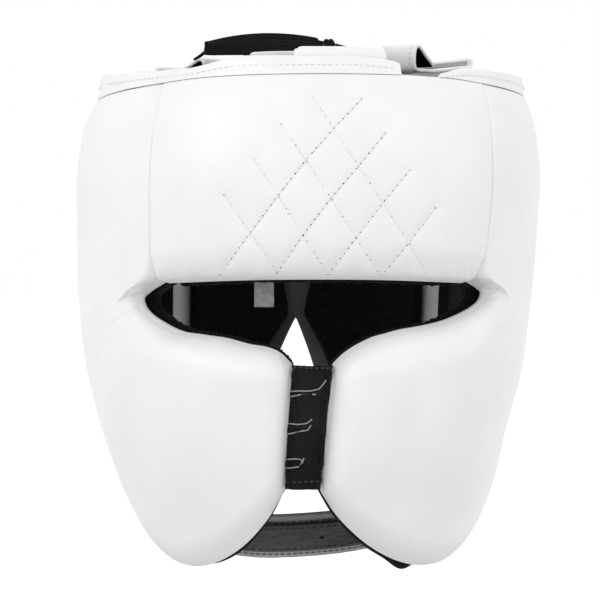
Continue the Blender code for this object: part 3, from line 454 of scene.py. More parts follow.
def sight(x, y):
    """The direction from the camera through a place in the picture."""
    return unit(FORWARD + RIGHT * (x - PICTURE / 2) / PIXELS_PER_SLOPE
                - UP * (y - PICTURE / 2) / PIXELS_PER_SLOPE)


def segment_distance(x, y, x0, y0, x1, y1):
    """(distance to a segment in the picture, share along it)"""
    way = np.array((x1 - x0, y1 - y0), float)
    share = np.clip(((x - x0) * way[0] + (y - y0) * way[1]) / (way @ way), 0, 1)
    return np.hypot(x - x0 - way[0] * share, y - y0 - way[1] * share), share


def crease_relief(table, x, y):
    """Grooves with raised shoulders that run out along their length."""
    total = np.zeros_like(x)
    scale = PIXELS_PER_SLOPE / CAMERA_DISTANCE
    for row in table:
        bend = 1.2 * math.sin(row.x0 * 12.9 + row.y1 * 7.3)
        along = segment_distance(x, y, row.x0, row.y0, row.x1, row.y1)[1]
        shift = bend * np.sin(math.pi * along)
        distance, along = segment_distance(x + shift, y - shift, row.x0, row.y0, row.x1, row.y1)
        distance = distance / (scale * row.width)
        profile = np.exp(-distance**2) - 0.42 * np.exp(-(distance / 2.3) ** 2)
        total -= row.depth * profile * (1 - along) ** 0.6
    return total


def swell_relief(table, x, y):
    total = np.zeros_like(x)
    scale = PIXELS_PER_SLOPE / CAMERA_DISTANCE
    for row in table:
        distance = segment_distance(x, y, row.x0, row.y0, row.x1, row.y1)[0]
        total -= row.depth * np.exp(-(distance / (scale * row.width)) ** 2)
    return total


def quilt_relief(x, y):
    """Grooves along the quilting, with the leather puffed between them."""
    nearest = np.full_like(x, 1e3)
    for line in QUILT_LINES:
        for (x0, y0), (x1, y1) in zip(line, line[1:]):
            nearest = np.minimum(nearest, segment_distance(x, y, x0, y0, x1, y1)[0])
    groove = -0.42 * np.exp(-(nearest / 1.8) ** 2) - 0.55 * np.exp(-(nearest / 6.5) ** 2)
    return groove - 0.25 * np.exp(-(nearest / 16) ** 2)


# Materials

def new_material(name, color, roughness, **sockets):
    material = bpy.data.materials.new(name)
    material.use_nodes = True
    shader = material.node_tree.nodes["Principled BSDF"]
    shader.inputs["Base Color"].default_value = (*color, 1)
    shader.inputs["Roughness"].default_value = roughness
    for label, value in sockets.items():
        shader.inputs[label.replace("_", " ")].default_value = value
    return material, shader


def node(material, kind, **inputs):
    made = material.node_tree.nodes.new(kind)
    for label, value in inputs.items():
        made.inputs[label.replace("_", " ")].default_value = value
    return made


def link(material, source, target):
    material.node_tree.links.new(source, target)


def noise(material, size, detail=3.0, distortion=0.0):
    """Noise with features of that size in millimetres."""
    place = node(material, "ShaderNodeTexCoord")
    made = node(material, "ShaderNodeTexNoise", Scale=1 / (size * MM), Detail=detail, Distortion=distortion)
    link(material, place.outputs["Object"], made.inputs["Vector"])
    return made.outputs["Fac"]


def cells(material, size):
    place = node(material, "ShaderNodeTexCoord")
    made = node(material, "ShaderNodeTexVoronoi", Scale=1 / (size * MM))
    made.feature = "F1"
    link(material, place.outputs["Object"], made.inputs["Vector"])
    return made.outputs["Distance"]


def spread(material, source, low, high, from_low=0.3, from_high=0.7):
    made = node(material, "ShaderNodeMapRange")
    made.inputs["From Min"].default_value = from_low
    made.inputs["From Max"].default_value = from_high
    made.inputs["To Min"].default_value = low
    made.inputs["To Max"].default_value = high
    link(material, source, made.inputs["Value"])
    return made.outputs["Result"]


def add_bumps(material, shader, *layers):
    """Stacks bump layers, each (height output, distance in millimetres)."""
    below = None
    for height, depth in layers:
        bump = node(material, "ShaderNodeBump", Strength=1.0, Distance=depth * MM)
        link(material, height, bump.inputs["Height"])
        if below:
            link(material, below, bump.inputs["Normal"])
        below = bump.outputs["Normal"]
    link(material, below, shader.inputs["Normal"])


def tint(material, shader, source, dark, light):
    ramp = node(material, "ShaderNodeValToRGB")
    ramp.color_ramp.elements[0].position = 0.3
    ramp.color_ramp.elements[1].position = 0.7
    ramp.color_ramp.elements[0].color = (*dark, 1)
    ramp.color_ramp.elements[1].color = (*light, 1)
    link(material, source, ramp.inputs["Fac"])
    link(material, ramp.outputs["Color"], shader.inputs["Base Color"])


def make_leather(name, dark, light, roughness, grain, depth, wrinkle=0.0, **sockets):
    material, shader = new_material(name, light, roughness, **sockets)
    tint(material, shader, noise(material, 34, 4), dark, light)
    link(material, spread(material, noise(material, 9, 5), roughness - 0.06, roughness + 0.07),
         shader.inputs["Roughness"])
    layers = [(cells(material, grain), depth), (noise(material, grain * 0.45, 2), depth * 0.6),
              (noise(material, grain * 5, 4, 0.6), depth * 1.8)]
    if wrinkle:
        layers.append((noise(material, 7, 6, 1.4), wrinkle))
    add_bumps(material, shader, *layers)
    return material


def make_lining():
    material, shader = new_material(
        "black_lining", (0.008, 0.008, 0.008), 0.9, Sheen_Weight=0.05, Sheen_Roughness=0.5,
        Specular_IOR_Level=0.04)
    tint(material, shader, noise(material, 1.5, 6), (0.003, 0.003, 0.003), (0.012, 0.012, 0.012))
    add_bumps(material, shader, (noise(material, 0.5, 5), 0.25), (noise(material, 4, 3), 0.3))
    return material


def make_woven(name, dark, light, pitch, width):
    """A flat braid: chevrons that run along the ribbon's own length, read from its map of millimetres."""
    material, shader = new_material(name, light, 0.78, Sheen_Weight=0.05, Sheen_Roughness=0.4,
                                    Specular_IOR_Level=0.08)
    chart = node(material, "ShaderNodeUVMap")
    split = node(material, "ShaderNodeSeparateXYZ")
    link(material, chart.outputs["UV"], split.inputs["Vector"])

    def math_node(operation, first, second=None):
        made = node(material, "ShaderNodeMath")
        made.operation = operation
        for socket, value in zip(made.inputs, (first, second)):
            if value is None:
                continue
            if isinstance(value, (int, float)):
                socket.default_value = value
            else:
                link(material, value, socket)
        return made.outputs["Value"]

    centred = math_node("ABSOLUTE", math_node("SUBTRACT", split.outputs["Y"], width / 2))
    slope = math_node("ADD", split.outputs["X"], math_node("MULTIPLY", centred, 0.9))
    ribs = math_node("ABSOLUTE", math_node("SINE", math_node("MULTIPLY", slope, math.pi / pitch)))
    wales = math_node("ABSOLUTE", math_node("SINE", math_node("MULTIPLY", centred, math.pi / (pitch * 0.8))))
    height = math_node("MULTIPLY", ribs, math_node("ADD", math_node("MULTIPLY", wales, 0.5), 0.5))
    tint(material, shader, height, dark, light)
    add_bumps(material, shader, (height, 0.35), (noise(material, 0.25, 2), 0.06))
    return material


def make_thread(name, dark, light):
    material, shader = new_material(name, light, 0.6, Sheen_Weight=0.15)
    tint(material, shader, noise(material, 0.6, 3), dark, light)
    add_bumps(material, shader, (noise(material, 0.2, 2, 2.0), 0.08))
    return material


def make_shaded_label_cloth():
    material, shader = new_material("label_cloth_painted_shade", (0.62, 0.62, 0.61), 0.85, Sheen_Weight=0.2)
    place = node(material, "ShaderNodeTexCoord")
    weave = []
    for direction in ("X", "Z"):
        wave = node(material, "ShaderNodeTexWave", Scale=1 / (0.9 * MM), Distortion=0.4)
        wave.bands_direction = direction
        link(material, place.outputs["Object"], wave.inputs["Vector"])
        weave.append(wave.outputs["Fac"])
    # Painted shade: the cloth is tinted 0.20 to 0.30 grey over its 0.62 base, for the shade of the cavity it
    # hangs in.
    tint(material, shader, noise(material, 3, 4), (0.20, 0.20, 0.20), (0.30, 0.30, 0.30))
    add_bumps(material, shader, (weave[0], 0.05), (weave[1], 0.05))
    return material


def make_steel():
    material, shader = new_material("buckle_steel", (0.62, 0.62, 0.63), 0.25, Metallic=1.0)
    tint(material, shader, noise(material, 6, 4), (0.50, 0.50, 0.51), (0.66, 0.66, 0.67))
    link(material, spread(material, noise(material, 0.8, 6), 0.18, 0.38), shader.inputs["Roughness"])
    add_bumps(material, shader, (noise(material, 0.3, 3), 0.01))
    return material


WHITE_LEATHER = make_leather(
    "white_leather", (0.765, 0.765, 0.762), (0.80, 0.80, 0.797), roughness=0.40, grain=0.9, depth=0.035,
    wrinkle=0.10, Specular_IOR_Level=0.45)
# Painted shade: the flesh side of white leather, on inner faces, painted mid grey for the shade that falls on
# them.
SHADED_FLESH_LEATHER = make_leather(
    "leather_flesh_side_painted_shade", (0.42, 0.42, 0.42), (0.52, 0.52, 0.515), roughness=0.75, grain=0.5, depth=0.10,
    wrinkle=0.10, Specular_IOR_Level=0.2)
# Painted shade: the chin strap and its tongue are white leather, painted grey for the shade they lie in
# between the cheek guards. The tongue is near black, and the strap is lighter where its lower margin is lit.
SHADED_STRAP_LEATHER = make_leather(
    "strap_leather", (0.025, 0.025, 0.025), (0.06, 0.06, 0.06), roughness=0.5, grain=1.1, depth=0.09,
    wrinkle=0.9, Specular_IOR_Level=0.3)
SHADED_STRAP_EDGE = make_leather(
    "strap_edge_leather_painted_shade", (0.22, 0.22, 0.22), (0.34, 0.34, 0.34), roughness=0.45, grain=1.0, depth=0.06,
    wrinkle=0.3, Specular_IOR_Level=0.3)
BLACK_LEATHER = make_leather(
    "black_leather", (0.003, 0.003, 0.003), (0.009, 0.009, 0.009), roughness=0.24, grain=0.8, depth=0.09,
    wrinkle=0.6, Specular_IOR_Level=0.08, Coat_Weight=0.04, Coat_Roughness=0.15)
CUT_LEATHER = make_leather(
    "cut_leather_edge", (0.30, 0.30, 0.30), (0.46, 0.46, 0.46), roughness=0.7, grain=0.5, depth=0.08)
LINK_LEATHER = make_leather(
    "black_link_leather", (0.006, 0.006, 0.006), (0.014, 0.014, 0.014), roughness=0.5, grain=1.0, depth=0.08,
    wrinkle=0.2, Specular_IOR_Level=0.1)
# Painted shade: the back and cut edge of the lacing strips, white leather painted near black for the shade
# inside the rear notch.
SHADED_STRIP_BACK = make_leather(
    "strip_flesh_side_painted_shade", (0.07, 0.07, 0.07), (0.13, 0.13, 0.13), roughness=0.75, grain=0.5, depth=0.10,
    wrinkle=0.10, Specular_IOR_Level=0.1)
LINING = make_lining()
LACE = make_woven("woven_lace", (0.002, 0.002, 0.002), (0.014, 0.014, 0.014), 1.1, LACE_WIDTH)
THREAD_WHITE = make_thread("white_thread", (0.70, 0.70, 0.70), (0.86, 0.86, 0.86))
THREAD_GREY = make_thread("grey_thread", (0.30, 0.30, 0.30), (0.52, 0.52, 0.52))
THREAD_DARK = make_thread("dark_thread", (0.03, 0.03, 0.03), (0.07, 0.07, 0.07))
# Painted shade: dark domes that stand for the shade inside the quilting's needle holes.
NEEDLE_HOLE_SHADE = make_thread("needle_hole_painted_shade", (0.02, 0.02, 0.02), (0.07, 0.07, 0.07))
SHADED_LABEL_CLOTH = make_shaded_label_cloth()
STEEL = make_steel()


# Meshes

def add_mesh(name, points, faces, materials, slots=None, chart=None):
    """A smooth mesh from points in millimetres. slots gives each face's material, chart each point's map."""
    mesh = bpy.data.meshes.new(name)
    mesh.from_pydata((np.asarray(points) * MM).tolist(), [], faces)
    for material in materials:
        mesh.materials.append(material)
    if slots is not None:
        mesh.polygons.foreach_set("material_index", np.asarray(slots, np.int32))
    if chart is not None:
        corners = np.empty(len(mesh.loops), np.int32)
        mesh.loops.foreach_get("vertex_index", corners)
        layer = mesh.uv_layers.new(name="ribbon")
        layer.data.foreach_set("uv", np.asarray(chart, np.float32)[corners].ravel())
    mesh.shade_smooth()
    made = bpy.data.objects.new(name, mesh)
    parts.objects.link(made)
    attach(made, BODY)
    return made


def signed_volume(points, quads):
    a, b, c, d = (points[quads[:, k]] for k in range(4))
    return (np.einsum("ij,ij->i", a, np.cross(b, c)) + np.einsum("ij,ij->i", a, np.cross(c, d))).sum()


def perimeter(rows, columns):
    i = np.concatenate((np.arange(rows), np.full(columns - 1, rows - 1), np.arange(rows - 2, -1, -1),
                        np.zeros(columns - 2, int)))
    j = np.concatenate((np.zeros(rows, int), np.arange(1, columns), np.full(rows - 1, columns - 1),
                        np.arange(columns - 2, 0, -1)))
    return i, j


WALL_SHARES = (0.1, 0.26, 0.5, 0.74, 0.9)


def closed_grid(name, outer, inner, materials, bulge=(0, 0, 0, 0), back=0, rim=0, chart=None):
    """A closed solid between two grids. bulge rounds the wall at u = 0, u = 1, v = 0 and v = 1, as a share of
    half its height. back and rim are the material numbers of the inner face and the wall."""
    rows, columns = outer.shape[:2]
    i, j = perimeter(rows, columns)
    away = sum(grid[i, j] - grid[np.clip(i, 1, rows - 2), np.clip(j, 1, columns - 2)]
               for grid in (outer, inner))
    across = outer[i, j] - inner[i, j]
    away = unit(away - unit(across) * np.einsum("ij,ij->i", away, unit(across))[:, None])
    amount = np.zeros(len(i))
    count = np.zeros(len(i))
    for on_edge, value in zip((i == 0, i == rows - 1, j == 0, j == columns - 1), bulge):
        amount += np.where(on_edge, value, 0)
        count += on_edge
    height = np.linalg.norm(across, axis=-1) * amount / count / 2
    rings = [mix(outer[i, j], inner[i, j], share)
             + away * (height * math.sqrt(1 - (2 * share - 1) ** 2))[:, None]
             for share in WALL_SHARES]
    size = rows * columns
    points = np.concatenate([outer.reshape(-1, 3), inner.reshape(-1, 3), *rings])
    grid = np.arange(size).reshape(rows, columns)
    sheet = np.stack((grid[:-1, :-1], grid[1:, :-1], grid[1:, 1:], grid[:-1, 1:]), axis=-1).reshape(-1, 4)
    between = [2 * size + len(i) * k + np.arange(len(i)) for k in range(len(rings))]
    loops = [grid[i, j], *between, grid[i, j] + size]
    walls = [np.stack((np.roll(upper, -1), upper, lower, np.roll(lower, -1)), axis=-1)
             for upper, lower in zip(loops, loops[1:])]
    quads = np.concatenate([sheet, sheet[:, ::-1] + size, *walls])
    if signed_volume(points, quads) < 0:
        quads = quads[:, ::-1]
    slots = np.concatenate((np.zeros(len(sheet), int), np.full(len(sheet), back),
                            np.full(sum(map(len, walls)), rim)))
    if chart is not None:
        chart = np.concatenate((chart.reshape(-1, 2), chart.reshape(-1, 2), *[chart[i, j]] * len(rings)))
    return add_mesh(name, points, quads.tolist(), materials, slots, chart)


def normals_of(outer, inner):
    du = np.gradient(outer, axis=0)
    dv = np.gradient(outer, axis=1)
    normal = unit(np.cross(du, dv))
    return normal * np.sign(np.einsum("ijk,ijk->ij", normal, outer - inner).sum())


def running(points, axis):
    steps = np.linalg.norm(np.diff(points, axis=axis), axis=-1)
    start = np.zeros_like(np.take(steps, [0], axis=axis))
    return np.concatenate((start, np.cumsum(steps, axis=axis)), axis=axis)


def pad_grids(place, faces, edges, along, across):
    """The two faces of a padded solid on the shell. An edge is a row or a function of u and v."""
    u, v = np.meshgrid(along, across, indexing="ij")
    azimuth, z = place(u, v)
    low, high = faces(azimuth, z)
    middle = shell(azimuth, z, (low + high) / 2)
    run_u, run_v = running(middle, 0), running(middle, 1)
    share, seat, total = 1, 0, 0
    for distance, edge in zip((run_u, run_u[-1:] - run_u, run_v, run_v[:, -1:] - run_v), edges):
        edge = edge(u, v) if callable(edge) else edge
        inside = np.minimum(distance / edge.radius, 1)
        left = edge.wall + (1 - edge.wall) * np.sqrt(1 - (1 - inside) ** 2)
        share = share * left
        seat = seat + (1.0001 - left) * edge.seat
        total = total + 1.0001 - left
    level = mix(low, high, seat / total)
    return shell(azimuth, z, mix(level, high, share)), shell(azimuth, z, mix(level, low, share)), share


def tree_of(obj):
    mesh = obj.data
    points = np.empty(len(mesh.vertices) * 3, np.float32)
    mesh.vertices.foreach_get("co", points)
    return BVHTree.FromPolygons((points.reshape(-1, 3) / MM).tolist(),
                                [tuple(face.vertices) for face in mesh.polygons])


def ribbon_grids(path, across, width, thickness, shares, relief=None):
    """The two faces of a strap along a path, and its map of millimetres along and across."""
    ahead = unit(np.gradient(path, axis=0))
    across = np.broadcast_to(np.asarray(across, float), path.shape)
    normal = unit(np.cross(ahead, unit(across)))
    side = np.cross(normal, ahead)
    width = np.broadcast_to(width, len(path))[:, None, None]
    middle = path[:, None] + side[:, None] * width * np.asarray(shares)[None, :, None]
    length = distances(path)
    chart = np.stack(np.broadcast_arrays(length[:, None],
                                         (width[..., 0] * (np.asarray(shares) + 0.5)[None, :])), axis=-1)
    lift = np.zeros(chart.shape[:2]) if relief is None else relief(chart[..., 0], chart[..., 1], middle)
    up = normal[:, None]
    return middle + up * (thickness / 2 + lift[..., None]), middle - up * thickness / 2, chart


def facing_up(grids, row, column):
    return grids[0][row, column, 2] >= grids[1][row, column, 2]


def smooth_path(points, steps):
    """Points on a smooth curve through the given ones."""
    points = np.asarray(points, float)
    padded = np.concatenate(([points[0] * 2 - points[1]], points, [points[-1] * 2 - points[-2]]))
    t = (np.arange(steps) / steps)[:, None]
    pieces = []
    for a, b, c, d in zip(padded, padded[1:], padded[2:], padded[3:]):
        pieces.append(0.5 * (2 * b + (c - a) * t + (2 * a - 5 * b + 4 * c - d) * t**2
                             + (3 * b - a - 3 * c + d) * t**3))
    return np.concatenate((*pieces, points[-1:]))


def even_path(path, spacing):
    """The same path with its points evenly spaced."""
    length = distances(path)
    at = np.linspace(0, length[-1], max(2, round(length[-1] / spacing) + 1))
    return np.stack([np.interp(at, length, path[:, k]) for k in range(3)], axis=-1)


def tube(name, path, radii, material, sides=10):
    """A round cord along a path, closed at both ends."""
    path = np.asarray(path, float)
    ahead = unit(np.gradient(path, axis=0))
    side = unit(np.cross(ahead[0], (0.31, 0.52, 0.8)))
    rings = []
    for point, way, radius in zip(path, ahead, np.broadcast_to(radii, len(path))):
        side = unit(side - way * (side @ way))
        turn = turns(sides)
        rings.append(point + radius * (np.cos(turn)[:, None] * side
                                       + np.sin(turn)[:, None] * np.cross(way, side)))
    points = np.concatenate(rings)
    faces = [(k * sides + n, k * sides + (n + 1) % sides, (k + 1) * sides + (n + 1) % sides,
              (k + 1) * sides + n)
             for k in range(len(path) - 1) for n in range(sides)]
    faces += [tuple(range(sides))[::-1], tuple(range(len(points) - sides, len(points)))]
    length = distances(path)
    chart = np.stack((np.repeat(length, sides), np.tile(np.arange(sides) * LACE_WIDTH / sides, len(path))),
                     axis=-1)
    return add_mesh(name, points, faces, [material], chart=chart)


# Stitches

def add_threads(name, starts, ends, normals, material, slot, radius=0.26, lift=0.12, sides=6, steps=5):
    """Short stitches, each bowed up from the surface between its two needle holes."""
    starts, ends, normals = (np.asarray(a, float) for a in (starts, ends, normals))
    t = np.linspace(0, 1, steps)
    arch = np.sin(math.pi * t)
    centres = mix(starts[:, None], ends[:, None], t[None, :, None])
    centres = centres + normals[:, None] * (arch * (radius + lift) - radius * 0.4)[None, :, None]
    side = unit(np.cross(ends - starts, normals))
    turn = turns(sides)
    thick = radius * (0.5 + 0.5 * np.sqrt(arch))
    rings = (centres[:, :, None] + thick[None, :, None, None]
             * (side[:, None, None] * np.cos(turn)[None, None, :, None]
                + normals[:, None, None] * np.sin(turn)[None, None, :, None]))
    points = rings.reshape(-1, 3)
    faces = []
    for first in range(0, len(points), steps * sides):
        for k in range(steps - 1):
            for n in range(sides):
                a, b = first + k * sides + n, first + k * sides + (n + 1) % sides
                faces.append((a, a + sides, b + sides, b))
        faces += [tuple(range(first, first + sides)),
                  tuple(range(first + steps * sides - 1, first + (steps - 1) * sides - 1, -1))]
    return add_mesh(name, points, faces, [material])


def add_beads(name, spots, normals, radius, material, flat=0.45, sides=7):
    """Small low domes, such as the dark ones painted as the shade inside the needle holes between stitches.
    """
    spots, normals = np.asarray(spots, float), np.asarray(normals, float)
    radius = np.broadcast_to(radius, len(spots))[:, None, None]
    side = unit(np.cross(normals, (0.27, 0.11, 0.93)))
    other = np.cross(normals, side)
    turn = turns(sides)
    ring = spots[:, None] + radius * (side[:, None] * np.cos(turn)[None, :, None]
                                      + other[:, None] * np.sin(turn)[None, :, None])
    tips = [spots[:, None] + way * flat * radius * normals[:, None] for way in (1, -1)]
    points = np.concatenate((ring, *tips), axis=1).reshape(-1, 3)
    faces = []
    for first in range(0, len(points), sides + 2):
        for n in range(sides):
            a, b = first + n, first + (n + 1) % sides
            faces += [(a, b, first + sides), (b, a, first + sides + 1)]
    return add_mesh(name, points, faces, [material])


def stitch_row(points, normals, share=0.72):
    """(starts, ends, normals) of the stitches between a row of needle holes."""
    points, normals = np.asarray(points), np.asarray(normals)
    trim = (1 - share) / 2
    starts = mix(points[:-1], points[1:], trim)
    ends = mix(points[:-1], points[1:], 1 - trim)
    return starts, ends, unit(normals[:-1] + normals[1:])


def join_rows(rows):
    return [np.concatenate(column) for column in zip(*rows)]


def seen_row(tree, line, pitch):
    """Evenly spaced points of a line in the picture, where the sight through them meets a surface."""
    flat = even_path(np.array([(x, y, 0) for x, y in line], float), pitch)
    spots, normals = [], []
    for x, y, _ in flat:
        hit, normal, _, _ = tree.ray_cast(tuple(EYE), tuple(sight(x, y)))
        if hit is not None:
            spots.append(hit)
            normals.append(normal)
    return np.array(spots), np.array(normals)


def shell_row(azimuths, heights, rise, pitch):
    """Evenly spaced points on the shell, with their outward normals. rise is a function of both."""
    def spots(azimuth, z):
        return shell(azimuth, z, rise(azimuth, z))
    line = spots(azimuths, heights)
    length = distances(line)
    at = np.linspace(0, length[-1], max(2, round(length[-1] / pitch)))
    azimuth, z = np.interp(at, length, azimuths), np.interp(at, length, heights)
    normal = unit(np.cross(spots(azimuth + 0.05, z) - spots(azimuth - 0.05, z),
                           spots(azimuth, z + 0.05) - spots(azimuth, z - 0.05)))
    outward = shell(azimuth, z, 40) - shell(azimuth, z, 0)
    return spots(azimuth, z), normal * np.sign(np.einsum("ij,ij->i", normal, outward))[:, None]


# Pads

def ragged(at, seed, size=1.0):
    """Torn unevenness of a cut edge, along a distance in millimetres."""
    draw = np.random.default_rng(seed)
    total = 0
    for wave, amount in ((17, 0.35), (7.1, 0.4), (3.3, 0.35), (1.7, 0.22)):
        total = total + amount * np.sin(at * 2 * math.pi / wave + draw.uniform(0, 6.28)
                                        + np.sin(at / (wave * 1.7)))
    return total * size


SEAM_GAP = math.degrees(GAP / 2 / (CAVITY_FRONT + FRONT_THICKNESS / 2)) * 1.6


def forehead_place(margin_down=0.0, torn=0.0):
    def place(u, v):
        half = SEAM_AZIMUTH - SEAM_GAP
        azimuth = mix(-half, half, u)
        top = -CROWN_DROP * read(CROWN_RIM, "pad_top", np.abs(azimuth))
        arch = BROW_ARCH * np.cos(np.radians(azimuth) * 2)
        bottom = -BROW_DROP + arch - margin_down - torn * ragged(azimuth * 1.9, 3) * v**10
        return azimuth, mix(top, bottom, v)
    return place


def side_place(sign, eye_margin=0.0, jaw_margin=0.0, torn=0.0):
    def place(u, v):
        seam = read(SIDE_SECTIONS, "seam", u)
        lift = read(SIDE_SECTIONS, "left_lift", u) * (1 + sign) / 2
        front = (read(SIDE_SECTIONS, "front_azimuth", u) + SEAM_GAP * seam,
                 height_of(read(SIDE_SECTIONS, "front_level", u) - lift))
        rear = (read(SIDE_SECTIONS, "rear_azimuth", u), height_of(read(SIDE_SECTIONS, "rear_level", u)))
        length = np.linalg.norm(shell(*rear, LINING_THICKNESS) - shell(*front, LINING_THICKNESS), axis=-1)
        margin = eye_margin + torn * ragged(u * 420, 5 + sign) * (1 - v) ** 10
        low = -margin * (1 - seam) / length
        tongue = 0
        if sign > 0 and jaw_margin:
            tongue = JAW_TONGUE * np.exp(-((u - JAW_TONGUE_PLACE) / JAW_TONGUE_BREADTH) ** 2)
        high = 1 + (jaw_margin + tongue) / length
        share = mix(low, high, v)
        return sign * mix(front[0], rear[0], share), mix(front[1], rear[1], share)
    return place


def side_front_edge(u, v):
    seam = np.clip(read(SIDE_SECTIONS, "seam", u), 0, 1)
    radius = EYE_RIM_RADIUS * read(SIDE_SECTIONS, "rim", u)
    return Edge(mix(radius, np.minimum(radius, SEAM_EDGE.radius), seam), mix(0.2, SEAM_EDGE.wall, seam),
                mix(0.2, SEAM_EDGE.seat, seam))


def fade_at_edges(share):
    """1 on the open face of a pad, 0 at its rim."""
    return smoothstep(0.55, 0.97, share)


def front_share(normals):
    return smoothstep(0.1, 0.45, -(normals @ FORWARD))


def make_forehead():
    along = stations(164, 3, 0.03)
    across = stations(104, 3, 0.04, focus=((0.93, 0.1, 0.7),))
    outer, inner, share = pad_grids(forehead_place(), face_pad,
                                    (SEAM_EDGE, SEAM_EDGE, CROWN_EDGE, BROW_EDGE), along, across)
    normals = normals_of(outer, inner)
    x, y = pixels(outer)
    relief = (quilt_relief(x, y) + swell_relief(SWELLS, x, y)
              + 0.25 * ripple(outer, 45, 11)) * fade_at_edges(share)
    gathers = ripple(np.stack((x, y * 0.12, 0 * x), axis=-1), 13, 21)
    gathers = gathers + 0.6 * ripple(np.stack((x, y * 0.2, 0 * x), axis=-1), 6, 22)
    relief += 0.22 * gathers * smoothstep(258, 279, y) * smoothstep(0.25, 0.6, share)
    relief += crease_relief(BROW_CREASES, x, y) * smoothstep(0.25, 0.5, share)
    near_seam = np.exp(-np.minimum(along, 1 - along)[:, None] * 175 / 4.5)
    pucker = np.sin(y * 2 * math.pi / 11 + np.sin(y / 9)) * near_seam
    relief += 0.14 * pucker * smoothstep(0.6, 0.95, share) * smoothstep(100, 140, y)
    outer = outer + normals * relief[..., None]
    made = closed_grid("forehead_pad_leather", outer, inner, [WHITE_LEATHER],
                       bulge=(0, 0, 0.1, 0.25))
    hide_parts("forehead_pad")
    outer, inner, _ = pad_grids(forehead_place(EYE_LINING_MARGIN, 0.55), lining,
                                (SEAM_EDGE, SEAM_EDGE, LINING_EDGE, LINING_EDGE),
                                stations(200, 2, 0.03), stations(34, 6, 0.05))
    cloth = closed_grid("forehead_lining_nap", outer, inner, [LINING], bulge=(0, 0, 0.5, 0.6))
    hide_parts("forehead_lining")
    return made


def make_side(side, sign):
    along = stations(304, 2.5, 0.02, focus=((0.42, 0.07, 1.6), (0.93, 0.06, 0.5)))
    across = stations(88, 3.5, 0.04, focus=((0.12, 0.12, 0.9),))
    outer, inner, share = pad_grids(side_place(sign), face_pad,
                                    (CROWN_EDGE, MOUTH_EDGE, side_front_edge, FREE_EDGE), along, across)
    normals = normals_of(outer, inner)
    x, y = pixels(outer)
    seen = front_share(normals)
    relief = swell_relief(SWELLS, x, y) * seen * fade_at_edges(share)
    relief += 0.35 * ripple(outer, 60, 12 + sign) * fade_at_edges(share)
    relief += crease_relief(SIDE_CREASES, x, y) * seen * smoothstep(0.12, 0.4, share)
    hidden = (1 - seen) * fade_at_edges(share)
    behind = smoothstep(20, 60, outer[..., 1] + 60)
    relief += 0.22 * hidden * ripple(outer * (1, 1, 0.45), 12, 31 + sign) * behind
    outer = outer + normals * relief[..., None]
    made = closed_grid(f"side_pad_leather_{side}", outer, inner, [WHITE_LEATHER],
                       bulge=(0.1, 0.35, 0.2, 0.3))
    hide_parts(f"side_pad_{side}")
    outer, inner, _ = pad_grids(side_place(sign, EYE_SHOWN[sign], JAW_SHOWN, 0.55), lining,
                                (LINING_EDGE,) * 4,
                                stations(350, 1, 0.02), stations(30, 8, 0.04))
    cloth = closed_grid(f"side_lining_nap_{side}", outer, inner, [LINING],
                        bulge=(0.5, 0.5, 0.6, 0.5))
    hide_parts(f"side_lining_{side}")
    return made


def wing_front(sign):
    return WING_FRONT_LEFT if sign > 0 else WING_FRONT_RIGHT


def wing_place(sign, front_margin, notch_margin):
    def place(u, v):
        z = mix(WING_TOP, WING_BOTTOM, v) + 0 * u
        rear = azimuth_at(notch_half_gap(z) + strip_width(z) + notch_margin, z, LINING_THICKNESS)
        return sign * mix(wing_front(sign) + front_margin, rear, u), z
    return place


def make_wing(side, sign):
    along, across = stations(56, 3, 0.06), stations(148, 3, 0.04)
    outer, inner, share = pad_grids(wing_place(sign, 0, 5 * GAP), rear_pad,
                                    (WING_EDGE, WING_EDGE, CROWN_EDGE, WING_LOW_EDGE), along, across)
    normals = normals_of(outer, inner)
    relief = 0.3 * ripple(outer, 40, 41 + sign) + 0.12 * ripple(outer * (1, 1, 0.5), 11, 43 + sign)
    for level in WING_CREASES:
        off = outer[..., 2] - level
        relief = relief - 0.9 * np.exp(-(off / 2.2) ** 2) - 0.5 * np.exp(-(off / 8) ** 2)
    outer = outer + normals * (relief * fade_at_edges(share))[..., None]
    made = closed_grid(f"rear_pad_leather_{side}", outer, inner, [WHITE_LEATHER],
                       bulge=(0.25, 0.25, 0.1, 0.3))
    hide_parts(f"rear_pad_{side}")
    outer, inner, _ = pad_grids(wing_place(sign, REAR_LINING_INSET, 4 * GAP), lining, (LINING_EDGE,) * 4,
                                stations(34, 3, 0.06), stations(90, 3, 0.05))
    cloth = closed_grid(f"rear_lining_nap_{side}", outer, inner, [LINING],
                        bulge=(0.5, 0.5, 0.5, 0.5))
    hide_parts(f"rear_lining_{side}")
    return made


# Leather walls

def wall_grids(place, rise, along, across, thickness=LEATHER_WALL, relief=None):
    u, v = np.meshgrid(along, across, indexing="ij")
    azimuth, z = place(u, v)
    level = rise(azimuth, z)
    outer, inner = shell(azimuth, z, level + thickness / 2), shell(azimuth, z, level - thickness / 2)
    if relief is not None:
        outer = outer + normals_of(outer, inner) * relief(u, v, outer)[..., None]
    return outer, inner


def strip_rise(azimuth, z):
    return LINING_THICKNESS + LEATHER_WALL / 2 + 1.5 + 0 * z


def lace_hole_heights():
    return [NOTCH_APEX * mix(0.13, 0.77, row / (LACE_ROWS - 1)) for row in range(LACE_ROWS)]


def lace_hole_azimuth(z):
    return float(azimuth_at(notch_half_gap(z) + strip_width(z) / 2, z, LINING_THICKNESS))


